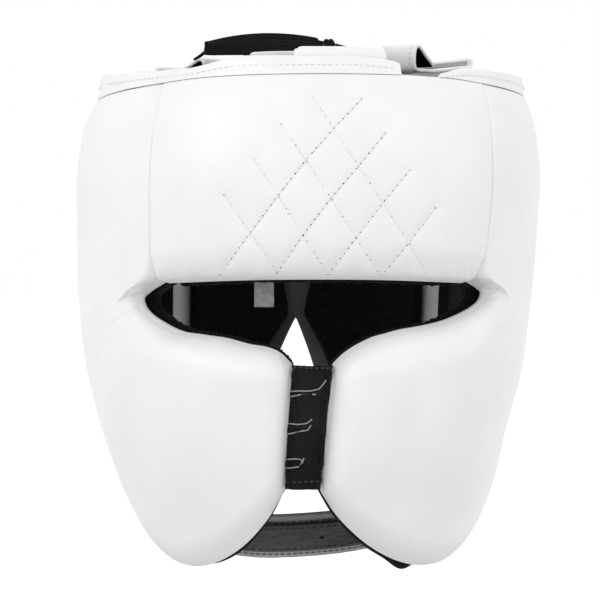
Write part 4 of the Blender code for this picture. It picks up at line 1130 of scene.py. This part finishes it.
def punch(target, cutters):
    """Cuts holes through a piece, and leaves a plain mesh."""
    for k, (points, faces) in enumerate(cutters):
        mesh = bpy.data.meshes.new(f"punch_{k}")
        mesh.from_pydata((np.asarray(points) * MM).tolist(), [], faces)
        tool = bpy.data.objects.new(f"punch_{k}", mesh)
        parts.objects.link(tool)
        cut = target.modifiers.new("cut", "BOOLEAN")
        cut.operation, cut.object, cut.solver = "DIFFERENCE", tool, "EXACT"
        bpy.context.view_layer.update()
        result = bpy.data.meshes.new_from_object(target.evaluated_get(bpy.context.evaluated_depsgraph_get()))
        target.modifiers.clear()
        old, target.data = target.data, result
        bpy.data.meshes.remove(old)
        bpy.data.objects.remove(tool)


def rod_cutter(centre, axis, radius, length, sides=20, stretch=(1, 1), tall=(0, 0, 1)):
    """The points and faces of a rod, or of a flat slot where stretch differs from 1."""
    axis = unit(np.asarray(axis, float))
    side = unit(np.cross(tall, axis))
    other = np.cross(axis, side)
    turn = turns(sides)
    ring = radius * (np.cos(turn)[:, None] * side * stretch[0] + np.sin(turn)[:, None] * other * stretch[1])
    points = np.concatenate((centre + ring - axis * length / 2, centre + ring + axis * length / 2))
    faces = [(n, (n + 1) % sides, sides + (n + 1) % sides, sides + n) for n in range(sides)]
    return points, faces + [tuple(range(sides))[::-1], tuple(range(sides, 2 * sides))]


def make_lacing_strip(side, sign):
    def place(u, v):
        z = mix(WING_TOP, WING_BOTTOM + 6, v) + 0 * u
        return sign * azimuth_at(notch_half_gap(z) + strip_width(z) * u, z, LINING_THICKNESS), z

    def stitched(u, v, points):
        return -0.25 * np.exp(-((u - 0.82) / 0.08) ** 2) + 0.12 * ripple(points, 9, 51)

    outer, inner = wall_grids(place, strip_rise, stations(15, 2, 0.1), stations(190, 2, 0.02),
                              relief=stitched)
    # The strip's back and edge carry painted shade.
    strip = closed_grid(f"lacing_strip_leather_{side}", outer, inner, [WHITE_LEATHER, SHADED_STRIP_BACK],
                        bulge=(0.9, 0.9, 0.9, 0.9), back=1, rim=1)
    holes, rings = [], []
    for z in lace_hole_heights():
        azimuth = sign * lace_hole_azimuth(z)
        centre = shell(azimuth, z, strip_rise(azimuth, z))
        axis = shell(azimuth, z, 30) - shell(azimuth, z, 0)
        holes.append(rod_cutter(centre, axis, LACE_HOLE_RADIUS, 12))
        rings.append((centre, unit(axis)))
    punch(strip, holes)
    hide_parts(f"lacing_strip_{side}")
    heights = np.linspace(WING_TOP - 3, WING_BOTTOM + 10, 90)
    azimuths = sign * azimuth_at(notch_half_gap(heights) + strip_width(heights) * 0.82, heights,
                                 LINING_THICKNESS)
    return [shell_row(azimuths, heights, lambda a, z: strip_rise(a, z) + LEATHER_WALL / 2 - 0.2, 3.0)]


def rear_of_side_pad(z):
    shares = np.linspace(10 / 60, 35 / 60, 200)
    levels = height_of(read(SIDE_SECTIONS, "rear_level", shares))
    return np.interp(-np.asarray(z, float), -levels, read(SIDE_SECTIONS, "rear_azimuth", shares))


def make_links(side, sign):
    def rise(azimuth, z):
        return LINK_RISE + 0 * z

    def behind_ear(u, v):
        z = mix(WING_TOP - 14, EAR_GAP_TOP + EAR_GAP_ARCH * np.sin(math.pi * u), v)
        front = rear_of_side_pad(np.maximum(z, height_of(0.60))) + 0.5
        return sign * mix(front, wing_front(sign) - 0.35, u), z

    def below_ear(u, v):
        dip = 3 * np.sin(math.pi * u)
        z = mix(EAR_GAP_BOTTOM - dip, WING_BOTTOM + 5 + dip, v)
        return sign * mix(rear_of_side_pad(z) + 0.5, wing_front(sign) - 0.35, u), z

    def soft_folds(u, v, points):
        return 0.5 * np.sin(math.pi * u) * ripple(points * (1, 1, 2.2), 26, 61) + 0.12 * ripple(points, 7, 62)

    rows = []
    links = (("ear_link", behind_ear, LINK_LEATHER, "lining", 90),
             ("neck_link", below_ear, WHITE_LEATHER, "white_leather", 30))
    for label, place, material, slot, across in links:
        outer, inner = wall_grids(place, rise, stations(40, 2, 0.05), stations(across, 2, 0.04),
                                  relief=soft_folds)
        made = closed_grid(f"{label}_leather_{side}", outer, inner, [material],
                           bulge=(0.3, 0.3, 0.9, 0.9))
        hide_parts(f"{label}_{side}")
        for u in (0.07, 0.93):
            v = np.linspace(0.03, 0.97, 40)
            azimuths, heights = place(np.full_like(v, u), v)
            rows.append(shell_row(azimuths, heights, lambda a, z: LINK_RISE + LEATHER_WALL / 2 + 0 * z, 3.2))
    return rows


# Crown

def crown_rise(azimuth, z):
    low, high = face_pad(azimuth, z)
    return mix(low, high, CROWN_EDGE.seat)


def rim_place(sign, first, last, column):
    def place(u, v):
        azimuth = mix(first, last, u)
        low = -CROWN_DROP * read(CROWN_RIM, "pad_top", np.abs(azimuth)) + GAP
        high = -CROWN_DROP * read(CROWN_RIM, column, np.abs(azimuth))
        rounding = np.minimum(1.0, np.sqrt(np.maximum(0.0, np.minimum(u, 1 - u)) * 12))
        return sign * azimuth, mix(low, mix(mix(low, high, 0.45), high, rounding), v)
    return place


def make_crown_edges():
    def wavy(u, v, points):
        waves = 0.35 * ripple(points, 30, 71) + 0.10 * ripple(points, 8, 72)
        return waves * v - 0.22 * np.exp(-((v - 0.42) / 0.08) ** 2)

    rows = []
    edges = (("crown_edge_front", -1, -15, 104.5, "edge_top_right", 300),
             ("crown_edge_left", 1, 27, 104.5, "edge_top_left", 200))
    for label, sign, first, last, column, count in edges:
        place = rim_place(sign, first, last, column)
        outer, inner = wall_grids(place, crown_rise, stations(count, 4, 0.03), stations(20, 2, 0.12),
                                  relief=wavy)
        made = closed_grid(f"{label}_leather", outer, inner, [WHITE_LEATHER, SHADED_FLESH_LEATHER, CUT_LEATHER],
                           bulge=(0.95, 0.95, 0, 0.95), back=1)
        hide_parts(label)
        u = np.linspace(0.012, 0.988, 400)
        azimuths, heights = place(u, np.full_like(u, RIM_STITCH_SHARE))
        rows.append(shell_row(azimuths, heights, lambda a, z: crown_rise(a, z) + LEATHER_WALL / 2 + 0.05,
                              RIM_STITCH))
    for side, sign in SIDES:
        def place(u, v, sign=sign):
            outer_end = mix(0.5, 5, (sign + 1) / 2)
            z = mix(WING_TOP + GAP, mix(outer_end, 2, u), v)
            rear = azimuth_at(LACED_HALF_GAP + 1, z, LINING_THICKNESS)
            return sign * mix(wing_front(sign) + 1, rear, u), z

        def rise(azimuth, z):
            low, high = rear_pad(azimuth, WING_TOP)
            return mix(low, high, CROWN_EDGE.seat) + 0 * z
        outer, inner = wall_grids(place, rise, stations(60, 3, 0.05), stations(18, 2, 0.12), relief=wavy)
        made = closed_grid(f"crown_edge_rear_leather_{side}", outer, inner, [WHITE_LEATHER, SHADED_FLESH_LEATHER],
                           bulge=(0.95, 0.95, 0, 0.95), back=1)
        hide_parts(f"crown_edge_rear_{side}")
        u = np.linspace(0.03, 0.97, 90)
        azimuths, heights = place(u, np.full_like(u, 0.45))
        rows.append(shell_row(azimuths, heights, lambda a, z: rise(a, z) + LEATHER_WALL / 2 + 0.05,
                              RIM_STITCH))
    return rows


def edge_bead(v, width, depth=0.25, inset=2.2, breadth=0.55):
    """The shallow groove of a stitch row on each side of a strap, from millimetres across."""
    return -depth * (np.exp(-((v - inset) / breadth) ** 2) + np.exp(-((width - v - inset) / breadth) ** 2))


def strap_rows(path, across, width, thickness, insets, pitch=3.0, side_of=1):
    """Stitch rows along a strap, each that far in from the edge that its sign names."""
    path = even_path(path, pitch)
    ahead = unit(np.gradient(path, axis=0))
    across = np.broadcast_to(np.asarray(across, float), path.shape)
    normal = unit(np.cross(ahead, unit(across)))
    side = np.cross(normal, ahead)
    rows = []
    for inset in insets:
        offset = width / 2 - abs(inset)
        rows.append((path + side * offset * np.sign(inset) + normal * side_of * thickness / 2,
                     normal * side_of))
    return rows


def make_crown_tongue():
    seat = -16
    rear = shell(azimuth_at(TONGUE_WIDTH / 2, seat, 0), seat, 0)[1] - LEATHER_WALL / 2 - 2.5 * GAP
    middle = LEATHER_WALL / 2
    points = ((0, rear, seat), (0, rear, -6), (0, rear * 0.94, middle - 1), (0, rear * 0.6, middle),
              (0, 0, middle), (0, -TONGUE_REACH * 0.6, middle), (0, -TONGUE_REACH, middle))
    path = even_path(smooth_path(points, 12), 1.2)
    left = np.linalg.norm(path - path[-1], axis=-1)
    breadth = TONGUE_WIDTH * mix(0.5, 1.0, np.sqrt(1 - (1 - np.minimum(1, left / (TONGUE_WIDTH / 4))) ** 2))
    for way in (1, -1):
        grids = ribbon_grids(
            path, (way, 0, 0), breadth, LEATHER_WALL, stations(46, 3, 0.05) - 0.5,
            relief=lambda u, v, p: edge_bead(v, TONGUE_WIDTH, 0.3, 3) - 0.12 + 0.12 * ripple(p, 14, 81))
        if facing_up(grids, len(path) // 2, 0):
            break
    outer, inner, chart = grids
    made = closed_grid("crown_tongue_leather", outer, inner, [WHITE_LEATHER, LINING],
                       bulge=(0.9, 0.9, 0.9, 0.9), back=1, chart=chart)
    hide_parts("crown_tongue")
    return strap_rows(path[4:-12], (-1, 0, 0), TONGUE_WIDTH, LEATHER_WALL - 0.3, (3, -3))


TAB_FOLDS = ((0.0, -11.2), (0.0, -6.0), (0.5, -2.4), (2.4, 0.3), (6.0, 0.8),
             (10.0, -0.6), (11.2, -2.8), (8.2, -4.6), (4.4, -5.6), (3.2, -9.5))


def make_crown_tab():
    path = even_path(smooth_path([(0, inward, height) for inward, height in TAB_FOLDS], 8), 0.6)
    ahead = unit(np.gradient(path, axis=0))
    normal = np.cross(ahead, (1, 0, 0))
    shares = stations(60, 4, 0.05)
    azimuths = mix(TAB_RIGHT_AZIMUTH, TAB_LEFT_AZIMUTH, shares)
    grids = []
    for side in (1, -1):
        spot = path + normal * side
        low = np.minimum(spot[:, 2], CROWN_EDGE_TOP_FRONT)[:, None]
        inward = (LEATHER_WALL / 2 + GAP + 1 + spot[:, 1])[:, None]
        grid = shell(azimuths[None], low + 0 * azimuths[None], crown_rise(azimuths[None], low) - inward)
        grid[..., 2] += spot[:, 2:3] - low
        corner = np.minimum(shares, 1 - shares)[None]
        grid[..., 2] -= 1.1 * np.exp(-(corner / 0.035) ** 2) * smoothstep(-4, 0, path[:, 2:3])
        grids.append(grid)
    x = np.linspace(0, 1, len(azimuths))[None]
    crease = -0.35 * (np.exp(-((x - 0.10) / 0.018) ** 2) + np.exp(-((x - 0.90) / 0.018) ** 2))
    facing = normals_of(grids[0], grids[1])
    grids[0] = grids[0] + facing * (crease + 0.12 * ripple(grids[0], 12, 91))[..., None]
    made = closed_grid("crown_tab_leather", grids[0], grids[1], [WHITE_LEATHER],
                       bulge=(0.9, 0.9, 0.9, 0.9))
    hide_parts("crown_tab")


LOOP_FOLD = ((3.2, 0.30), (2.2, 0.18), (1.1, 0.02), (0.6, 0.0), (0.12, 0.0), (0.0, 0.12),
             (-0.03, 0.45), (0.02, 0.80), (0.14, 0.98), (0.30, 0.92), (0.62, 0.60), (1.02, 0.24))


def make_crown_loop(side, sign, reach, height, low):
    turn = math.radians(LOOP_TURN) * sign
    back = np.array((math.sin(turn), math.cos(turn), 0))
    front = np.array((sign * reach, 10, low))
    points = [front + back * share * 17 + np.array((0, 0, tall * height)) for share, tall in LOOP_FOLD]
    path = even_path(smooth_path(points, 10), 0.9)
    across = np.array((math.cos(turn), -math.sin(turn), 0))

    def beaded(u, v, points):
        return edge_bead(v, LOOP_WIDTH, 0.2, 2.4) + 0.08 * ripple(points, 9, 95)

    for side_way in (across, -across):
        grids = ribbon_grids(path, side_way, LOOP_WIDTH, LOOP_WALL, stations(34, 3, 0.07) - 0.5,
                             relief=beaded)
        if facing_up(grids, len(path) - 6, 5):
            break
    outer, inner, chart = grids
    made = closed_grid(f"crown_loop_leather_{side}", outer, inner, [WHITE_LEATHER, LINK_LEATHER],
                       bulge=(0.9, 0.9, 0.9, 0.9), back=1, chart=chart)
    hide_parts(f"crown_loop_{side}")
    return strap_rows(path[3:-2], side_way, LOOP_WIDTH, LOOP_WALL - 0.1, (2.4, -2.4), pitch=2.4)


def lace(name, path, across, node_name, width=LACE_WIDTH * 0.8, thickness=LACE_THICKNESS):
    """A flat woven lace with rounded edges."""
    def rounded(u, v, points):
        return 0.12 * np.sin(math.pi * np.clip(v / width, 0, 1)) + 0.05 * np.sin(u * 2.9)

    shares = stations(13, 2, 0.12) - 0.5
    outer, inner, chart = ribbon_grids(path, across, width, thickness, shares, relief=rounded)
    chart = chart * (1, LACE_WIDTH / width)
    made = closed_grid(name, outer, inner, [LACE], bulge=(0.8, 0.8, 1, 1), chart=chart)
    if node_name:
        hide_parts(node_name)
    return made


def make_laces():
    deck = LEATHER_WALL + GAP + LACE_THICKNESS / 2
    cross = ((-47, 14, -2.0), (-42.5, 17.5, -2.0), (-38, 21, -1.6), (-33.5, 20, 1.2), (-29, 14, deck + 0.6),
             (-22, 9.5, deck), (-8, 7.2, deck), (3, 6.8, 5.4), (8.3, 5, 8.8))
    lace("crown_lace_woven_right", even_path(smooth_path(cross, 8), 0.8), (0, 1, 0), "crown_lace_right")
    onward = ((16.2, 3.8, 9.0), (24, 6, 7.2), (31, 11, 6.8), (36.5, 17.5, 6.2),
              (41, 20.5, 4.8), (46, 17.6, 3.5), (51, 14, 3.2))
    lace("crown_lace_woven_left", even_path(smooth_path(onward, 8), 0.8), (0, 1, 0.15), "crown_lace_left")
    turn = np.linspace(0.35, 2 * math.pi * 0.985, 120)
    knot = np.stack((12.1 + 0.95 * (np.sin(turn) + 1.6 * np.sin(2 * turn)) * 0.85,
                     3.0 + 0.95 * (np.cos(turn) - 1.6 * np.cos(2 * turn)) * 0.85,
                     9.9 - 1.25 * np.sin(3 * turn)), axis=-1)
    made = tube("lace_knot_woven", knot, 1.15, LACE, 12)
    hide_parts("lace_knot")


def make_hank():
    """The bundled free end: one flat lace folded back on itself four times, with its tip."""
    Run = namedtuple("Run", "y left middle right")
    runs = (Run(-7.9, 5.9, 6.2, 5.9), Run(-6.1, 6.5, 8.1, 6.7), Run(-4.3, 6.9, 9.9, 7.9),
            Run(-2.5, 7.2, 11.6, 9.0))
    points = []
    for k, run in enumerate(runs):
        share = np.linspace(0.03, 0.97, 17)
        share = share if k % 2 else 1 - share
        x = mix(-50, 7, share)
        bend = run.middle * 2 - (run.left + run.right) / 2
        z = (1 - share) ** 2 * run.left + 2 * share * (1 - share) * bend + share**2 * run.right
        y = run.y + 0.5 * np.sin(share * 7 + k) + mix(-1.2, 0.4, share)
        points += list(zip(x, y, z))
        if k < len(runs) - 1:
            following = runs[k + 1]
            end = k % 2
            edge = 8.2 if end else -51.2
            height = (run.right + following.right) / 2 if end else (run.left + following.left) / 2
            points.append((edge, (run.y + following.y) / 2 + mix(-1.2, 0.4, end), height))
    path = even_path(smooth_path(points, 4), 0.7)
    lace("lace_hank_woven", path, (0, 0.18, 1), "lace_hank", width=5.0, thickness=1.35)
    tip = ((-50.6, -4, 4.9), (-51.9, -4, 4.4), (-54, -4.2, 2.8), (-57, -4.6, 0.9))
    tail = even_path(smooth_path(tip, 6), 0.4)
    made = tube("lace_tail_tip", tail, np.linspace(1.0, 0.7, len(tail)), LACE, 10)
    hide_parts("lace_tail")


def make_rear_lace():
    route = []
    outside = LACE_THICKNESS + LEATHER_WALL / 2 + 1.2
    for n, z in enumerate(lace_hole_heights()):
        for k, sign in enumerate((1, -1) if n % 2 == 0 else (-1, 1)):
            azimuth = sign * lace_hole_azimuth(z)
            rise = float(strip_rise(azimuth, z))
            spots = [shell(azimuth, z, rise + way) for way in (-outside, 0, outside)]
            route += spots if k == 0 else spots[::-1]
    path = even_path(smooth_path(route, 8), 0.5)
    made = tube("rear_lace_woven", path, 1.25, LACE, 12)
    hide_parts("rear_lace")


# Mouth bridge

def make_mouth_bridge():
    along = stations(110, 2, 0.03)
    bends = np.radians(mix(-BRIDGE_BEND, BRIDGE_BEND, stations(74, 2, 0.04)))
    z = mix(BRIDGE_TOP, BRIDGE_BOTTOM, along)
    azimuth = mix(read(SIDE_SECTIONS, "front_azimuth", 1), read(SIDE_SECTIONS, "rear_azimuth", 1), along)
    ends = [shell(sign * azimuth, z, BRIDGE_RISE) for sign in (-1, 1)]
    middle = (ends[0] + ends[1]) / 2
    half = (ends[1][:, 0] - ends[0][:, 0]) / 2 - 0.6
    bow = np.stack(np.broadcast_arrays(
        np.sin(bends)[None], -np.cos(bends)[None] * BRIDGE_BULGE / half[:, None], 0), axis=-1)
    bow = bow / math.sin(math.radians(BRIDGE_BEND))
    outer = middle[:, None] + bow * half[:, None, None]
    inner = middle[:, None] + bow * (half[:, None, None] - BRIDGE_WALL)
    normals = normals_of(outer, inner)
    x, y = pixels(outer)
    relief = 0.30 * ripple(outer * (1, 1, 0.35), 7, 101) + 0.14 * ripple(outer, 3.2, 102)
    relief += 0.5 * np.exp(-((y - 366) / 2.2) ** 2) * 0.5 - 0.35 * np.exp(-((y - 369.5) / 1.4) ** 2)
    for level, rise in BRIDGE_SWELLS:
        relief += rise * np.exp(-((y - level) / 4.5) ** 2) * smoothstep(330, 318, x)
    outer = outer + normals * relief[..., None]
    made = closed_grid("mouth_bridge_leather", outer, inner, [BLACK_LEATHER, LINING, CUT_LEATHER],
                       bulge=(0.5, 0.5, 0.3, 0.3), back=1, rim=0)
    cutters = []
    front = tree_of(made)
    for slot in BRIDGE_SLOTS:
        spots, _ = seen_row(front, ((slot.x - 1, slot.y), (slot.x + 1, slot.y)), 1.0)
        cutters.append(rod_cutter(spots.mean(axis=0), FORWARD, 1.0, BRIDGE_WALL * 1.4, 24,
                                  stretch=(slot.half_wide * 0.48, slot.half_tall * 0.75)))
    punch(made, cutters)
    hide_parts("mouth_bridge")
    tree = tree_of(made)
    rows = [stitch_row(*seen_row(tree, line, 2.0), share=0.95) for line in BRIDGE_BINDINGS]
    add_threads("bridge_slot_stitches", *join_rows(rows), THREAD_GREY, "black_leather", radius=0.32,
                lift=0.12)
    rows = [stitch_row(*seen_row(tree, line, 5.5), share=0.6) for line in BRIDGE_HEMS]
    add_threads("bridge_edge_stitches", *join_rows(rows), THREAD_DARK, "black_leather", radius=0.28)


# Chin strap

def strap_path():
    angle = math.pi * np.arange(25) / 24
    across = -np.cos(angle)
    down = np.abs(np.sin(angle)) ** STRAP_FLATNESS
    z = mix(STRAP_TOP, STRAP_LOW, down)
    lower_edge = np.maximum(z - STRAP_WIDTH * 0.4, STRAP_TOP - STRAP_WIDTH)
    inside = np.abs(shell(np.copysign(90.0, across), lower_edge, 0)[:, 0])
    reach = inside - STRAP_WALL / 2 - 4 * GAP - STRAP_NARROWING * down
    x = np.copysign(np.abs(across) ** 0.8, across) * reach
    return np.stack((x, -STRAP_FORWARD * down, z + math.tan(math.radians(STRAP_ROLL)) * x), axis=-1)


STRAP_ACROSS = np.array((0, math.cos(math.radians(STRAP_TILT)), -math.sin(math.radians(STRAP_TILT))))


def make_chin_strap():
    coarse = strap_path()
    path = even_path(smooth_path(coarse, 8), 1.1)
    ahead = unit(np.gradient(path, axis=0))
    normal = unit(np.cross(ahead, STRAP_ACROSS))
    across = STRAP_ACROSS * (-1 if normal[len(path) // 2, 2] > 0 else 1)
    # Distances run from the edge that the path's own side vector leaves behind.
    outer, inner, chart = ribbon_grids(
        path, across, STRAP_WIDTH, STRAP_WALL, stations(46, 2.5, 0.05) - 0.5,
        relief=lambda u, v, p: edge_bead(v, STRAP_WIDTH, 0.3, 2.6) - 0.15 + 0.10 * ripple(p, 9, 111))
    # The strap's outer face is painted mid grey as shade; its inner face carries the flesh side's painted
    # shade.
    made = closed_grid("chin_strap_leather", outer, inner, [SHADED_STRAP_EDGE, SHADED_FLESH_LEATHER],
                       bulge=(0.9, 0.9, 0.95, 0.95), back=1, chart=chart)
    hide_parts("chin_strap")
    rows = [stitch_row(*row) for row in strap_rows(path[4:-4], across, STRAP_WIDTH, STRAP_WALL, (2.6, -2.6))]
    lift = (STRAP_WALL + TONGUE_STRAP_WALL) / 2 + 2.5 * GAP
    ahead = unit(np.gradient(coarse, axis=0))
    normal = unit(np.cross(ahead, STRAP_ACROSS))
    raised = (coarse - normal * lift * np.sign(normal[:, 2:3]) - STRAP_ACROSS * TONGUE_STRAP_RISE)[4:-4]
    return raised, across, rows


def make_strap_tongue(raised, across, rows):
    path = even_path(smooth_path(raised, 8), 1.0)

    def crinkled(u, v, points):
        inside = smoothstep(0, 3, np.minimum(v, TONGUE_STRAP_WIDTH - v))
        return (0.30 * ripple(points * (1, 2.2, 2.2), 9, 121) + 0.22 * ripple(points, 4.2, 122)
                + 0.10 * ripple(points, 2.4, 123)) * inside - 0.1
    outer, inner, chart = ribbon_grids(path, across, TONGUE_STRAP_WIDTH, TONGUE_STRAP_WALL,
                                       stations(44, 2, 0.05) - 0.5, relief=crinkled)
    # The tongue is painted near black for the shade it lies in.
    made = closed_grid("chin_strap_tongue_leather", outer, inner, [SHADED_STRAP_LEATHER],
                       bulge=(0.9, 0.9, 0.9, 0.9), chart=chart)
    middle = raised[len(raised) // 2]
    axis = np.array((0, math.sin(math.radians(STRAP_TILT)), math.cos(math.radians(STRAP_TILT))))
    holes = []
    for n in range(HOLES):
        x = middle[0] + FIRST_HOLE + n * HOLE_PITCH
        nearest = raised[np.argmin(np.abs(raised[:, 0] - x))]
        holes.append(rod_cutter(np.array((x, nearest[1], nearest[2])), axis, HOLE_RADIUS * 0.62, 9))
    punch(made, holes)
    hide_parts("chin_strap_tongue")
    seams = strap_rows(path[4:-4], across, TONGUE_STRAP_WIDTH, TONGUE_STRAP_WALL, (1.6, -1.6), pitch=3.4)
    rows += [stitch_row(*row) for row in seams]
    add_threads("strap_stitches", *join_rows(rows), THREAD_DARK, "strap_leather", radius=0.28)


def make_buckle(raised, across):
    """A plain bent-wire frame with its bar and prong, on the strap behind the cheek guard."""
    n = round(len(raised) * 0.8)
    ahead = unit(raised[n + 1] - raised[n - 1])
    outward = unit(np.cross(ahead, STRAP_ACROSS))
    outward = -outward if outward[2] > 0 else outward
    side = np.cross(outward, ahead)
    centre = raised[n] + outward * (TONGUE_STRAP_WALL / 2 + 2 * GAP + BUCKLE_WALL / 2)
    half_long, half_wide = BUCKLE_LENGTH / 2 - BUCKLE_BAR / 2, BUCKLE_WIDTH / 2 - BUCKLE_BAR / 2
    turn = turns(BUCKLE_STATIONS)
    long_way = np.copysign(np.abs(np.cos(turn)) ** BUCKLE_SQUARENESS, np.cos(turn)) * half_long
    wide_way = np.copysign(np.abs(np.sin(turn)) ** BUCKLE_SQUARENESS, np.sin(turn)) * half_wide
    ring = centre + long_way[:, None] * ahead + wide_way[:, None] * side
    sides = 14
    section = turns(sides)
    away = unit(ring - centre)
    away = unit(away - outward * (away @ outward)[:, None])
    points = (ring[:, None] + BUCKLE_BAR / 2 * np.cos(section)[None, :, None] * away[:, None]
              + BUCKLE_WALL / 2 * np.sin(section)[None, :, None] * outward).reshape(-1, 3)
    faces = []
    for k in range(BUCKLE_STATIONS):
        this, following = k * sides, (k + 1) % BUCKLE_STATIONS * sides
        faces += [(this + m, this + (m + 1) % sides, following + (m + 1) % sides, following + m)
                  for m in range(sides)]
    made = add_mesh("strap_buckle_frame", points, faces, [STEEL])
    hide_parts("strap_buckle")
    prong = [centre - ahead * half_long + outward * 0.9, centre - ahead * half_long * 0.4 + outward * 1.3,
             centre + ahead * half_long * 0.6 + outward * 1.2,
             centre + ahead * (half_long + 0.6) + outward * 0.9]
    tube("strap_buckle_prong", even_path(smooth_path(prong, 6), 0.5), 0.85, STEEL, 12)


def make_size_label():
    """The folded label at the brow seam, left bare."""
    azimuth, z = forehead_place(EYE_LINING_MARGIN)(np.array(0.5 + LABEL_AZIMUTH / SEAM_AZIMUTH / 2),
                                                   np.array(1.0))
    top = shell(azimuth, z - 2 * GAP, LINING_THICKNESS / 2)
    fold = ((-0.9, 0), (-1.1, -0.5), (-0.9, -0.92), (0, -1), (0.9, -0.92), (1.1, -0.5), (0.9, 0))
    path = even_path(smooth_path([top + np.array((0, y, share * LABEL_DROP)) for y, share in fold], 8), 0.35)
    outer, inner, chart = ribbon_grids(path, (1, -0.12, 0), LABEL_WIDTH, LABEL_WALL,
                                       stations(24, 1, 0.1) - 0.5,
                                       relief=lambda u, v, p: 0.12 * ripple(p, 6, 131))
    made = closed_grid("size_label_cloth", outer, inner, [SHADED_LABEL_CLOTH], bulge=(0.8, 0.8, 0.8, 0.8),
                       chart=chart)
    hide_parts("size_label")


# Studio

def make_studio():
    scene = bpy.context.scene
    scene.view_settings.view_transform = "Standard"
    scene.view_settings.look = "None"
    world = bpy.data.worlds.new("studio")
    scene.world = world
    world.use_nodes = True
    world.node_tree.nodes["Background"].inputs["Color"].default_value = (1, 1, 1, 1)
    world.node_tree.nodes["Background"].inputs["Strength"].default_value = 1.0
    mesh = bpy.data.meshes.new("floor")
    mesh.from_pydata([(FLOOR_RADIUS * math.cos(turn), FLOOR_RADIUS * math.sin(turn), FLOOR_HEIGHT)
                      for turn in turns(FLOOR_SIDES)], [], [tuple(range(FLOOR_SIDES))])
    floor = bpy.data.objects.new("floor", mesh)
    scene.collection.objects.link(floor)
    # The floor glows: its emission rises from none within 0.9 m of the middle to 0.55 beyond 2 m, so the far
    # floor shows white while the floor under the headgear stays dimmer.
    floor_glow, shader = new_material("glowing_floor_paper", (0.62, 0.62, 0.62), 0.9, Specular_IOR_Level=0.1)
    place = node(floor_glow, "ShaderNodeTexCoord")
    far = node(floor_glow, "ShaderNodeVectorMath")
    far.operation = "LENGTH"
    link(floor_glow, place.outputs["Object"], far.inputs[0])
    link(floor_glow, spread(floor_glow, far.outputs["Value"], 0.0, 0.55, 0.9, 2.0), shader.inputs["Emission Strength"])
    shader.inputs["Emission Color"].default_value = (1, 1, 1, 1)
    mesh.materials.append(floor_glow)
    for row in LAMPS:
        lamp = bpy.data.lights.new(row.name, "AREA")
        lamp.shape = "RECTANGLE"
        lamp.size, lamp.size_y = row.size
        lamp.energy = row.power
        made = bpy.data.objects.new(row.name, lamp)
        scene.collection.objects.link(made)
        aim(made, row.place, LAMP_TARGET)


def aim(obj, place, target):
    obj.location = place
    obj.rotation_euler = (Vector(target) - Vector(place)).to_track_quat("-Z", "Y").to_euler()


def make_camera():
    data = bpy.data.cameras.new("camera")
    data.sensor_width = 36
    data.lens = 36 * CAMERA_DISTANCE / VIEW_WIDTH
    data.clip_end = 100
    camera = bpy.data.objects.new("camera", data)
    bpy.context.scene.collection.objects.link(camera)
    aim(camera, tuple(EYE * MM), tuple(CAMERA_TARGET * MM))
    bpy.context.scene.camera = camera


# The whole

def make_quilting(pad):
    tree = tree_of(pad)
    rows, holes = [], []
    for line in QUILT_LINES:
        spots, normals = seen_row(tree, line, QUILT_PITCH)
        rows.append(stitch_row(spots, normals, 0.62))
        holes.append((spots, normals))
    add_threads("quilting_stitches", *join_rows(rows), THREAD_WHITE, "white_leather", radius=0.2, lift=0.02)
    spots, normals = join_rows(holes)
    # Dark domes painted as the shade in the needle holes.
    add_beads("quilting_hole_shades", spots, normals, 0.36 * rng.uniform(0.75, 1.15, len(spots)), NEEDLE_HOLE_SHADE)


make_camera()
make_studio()
forehead = make_forehead()
make_quilting(forehead)
stitch_rows = []
for side, sign in SIDES:
    make_side(side, sign)
    make_wing(side, sign)
    stitch_rows += make_lacing_strip(side, sign)
    stitch_rows += make_links(side, sign)
stitch_rows += make_crown_edges()
stitch_rows += make_crown_tongue()
make_crown_tab()
stitch_rows += make_crown_loop("left", 1, 48, 12.5, -3.2)
stitch_rows += make_crown_loop("right", -1, 44, 6.5, -4.6)
add_threads("white_stitches", *join_rows([stitch_row(*row) for row in stitch_rows]), THREAD_WHITE,
            "white_leather")
make_laces()
make_hank()
make_rear_lace()
make_mouth_bridge()
raised_path, strap_side, strap_stitches = make_chin_strap()
make_strap_tongue(raised_path, strap_side, strap_stitches)
make_buckle(raised_path, strap_side)
make_size_label()
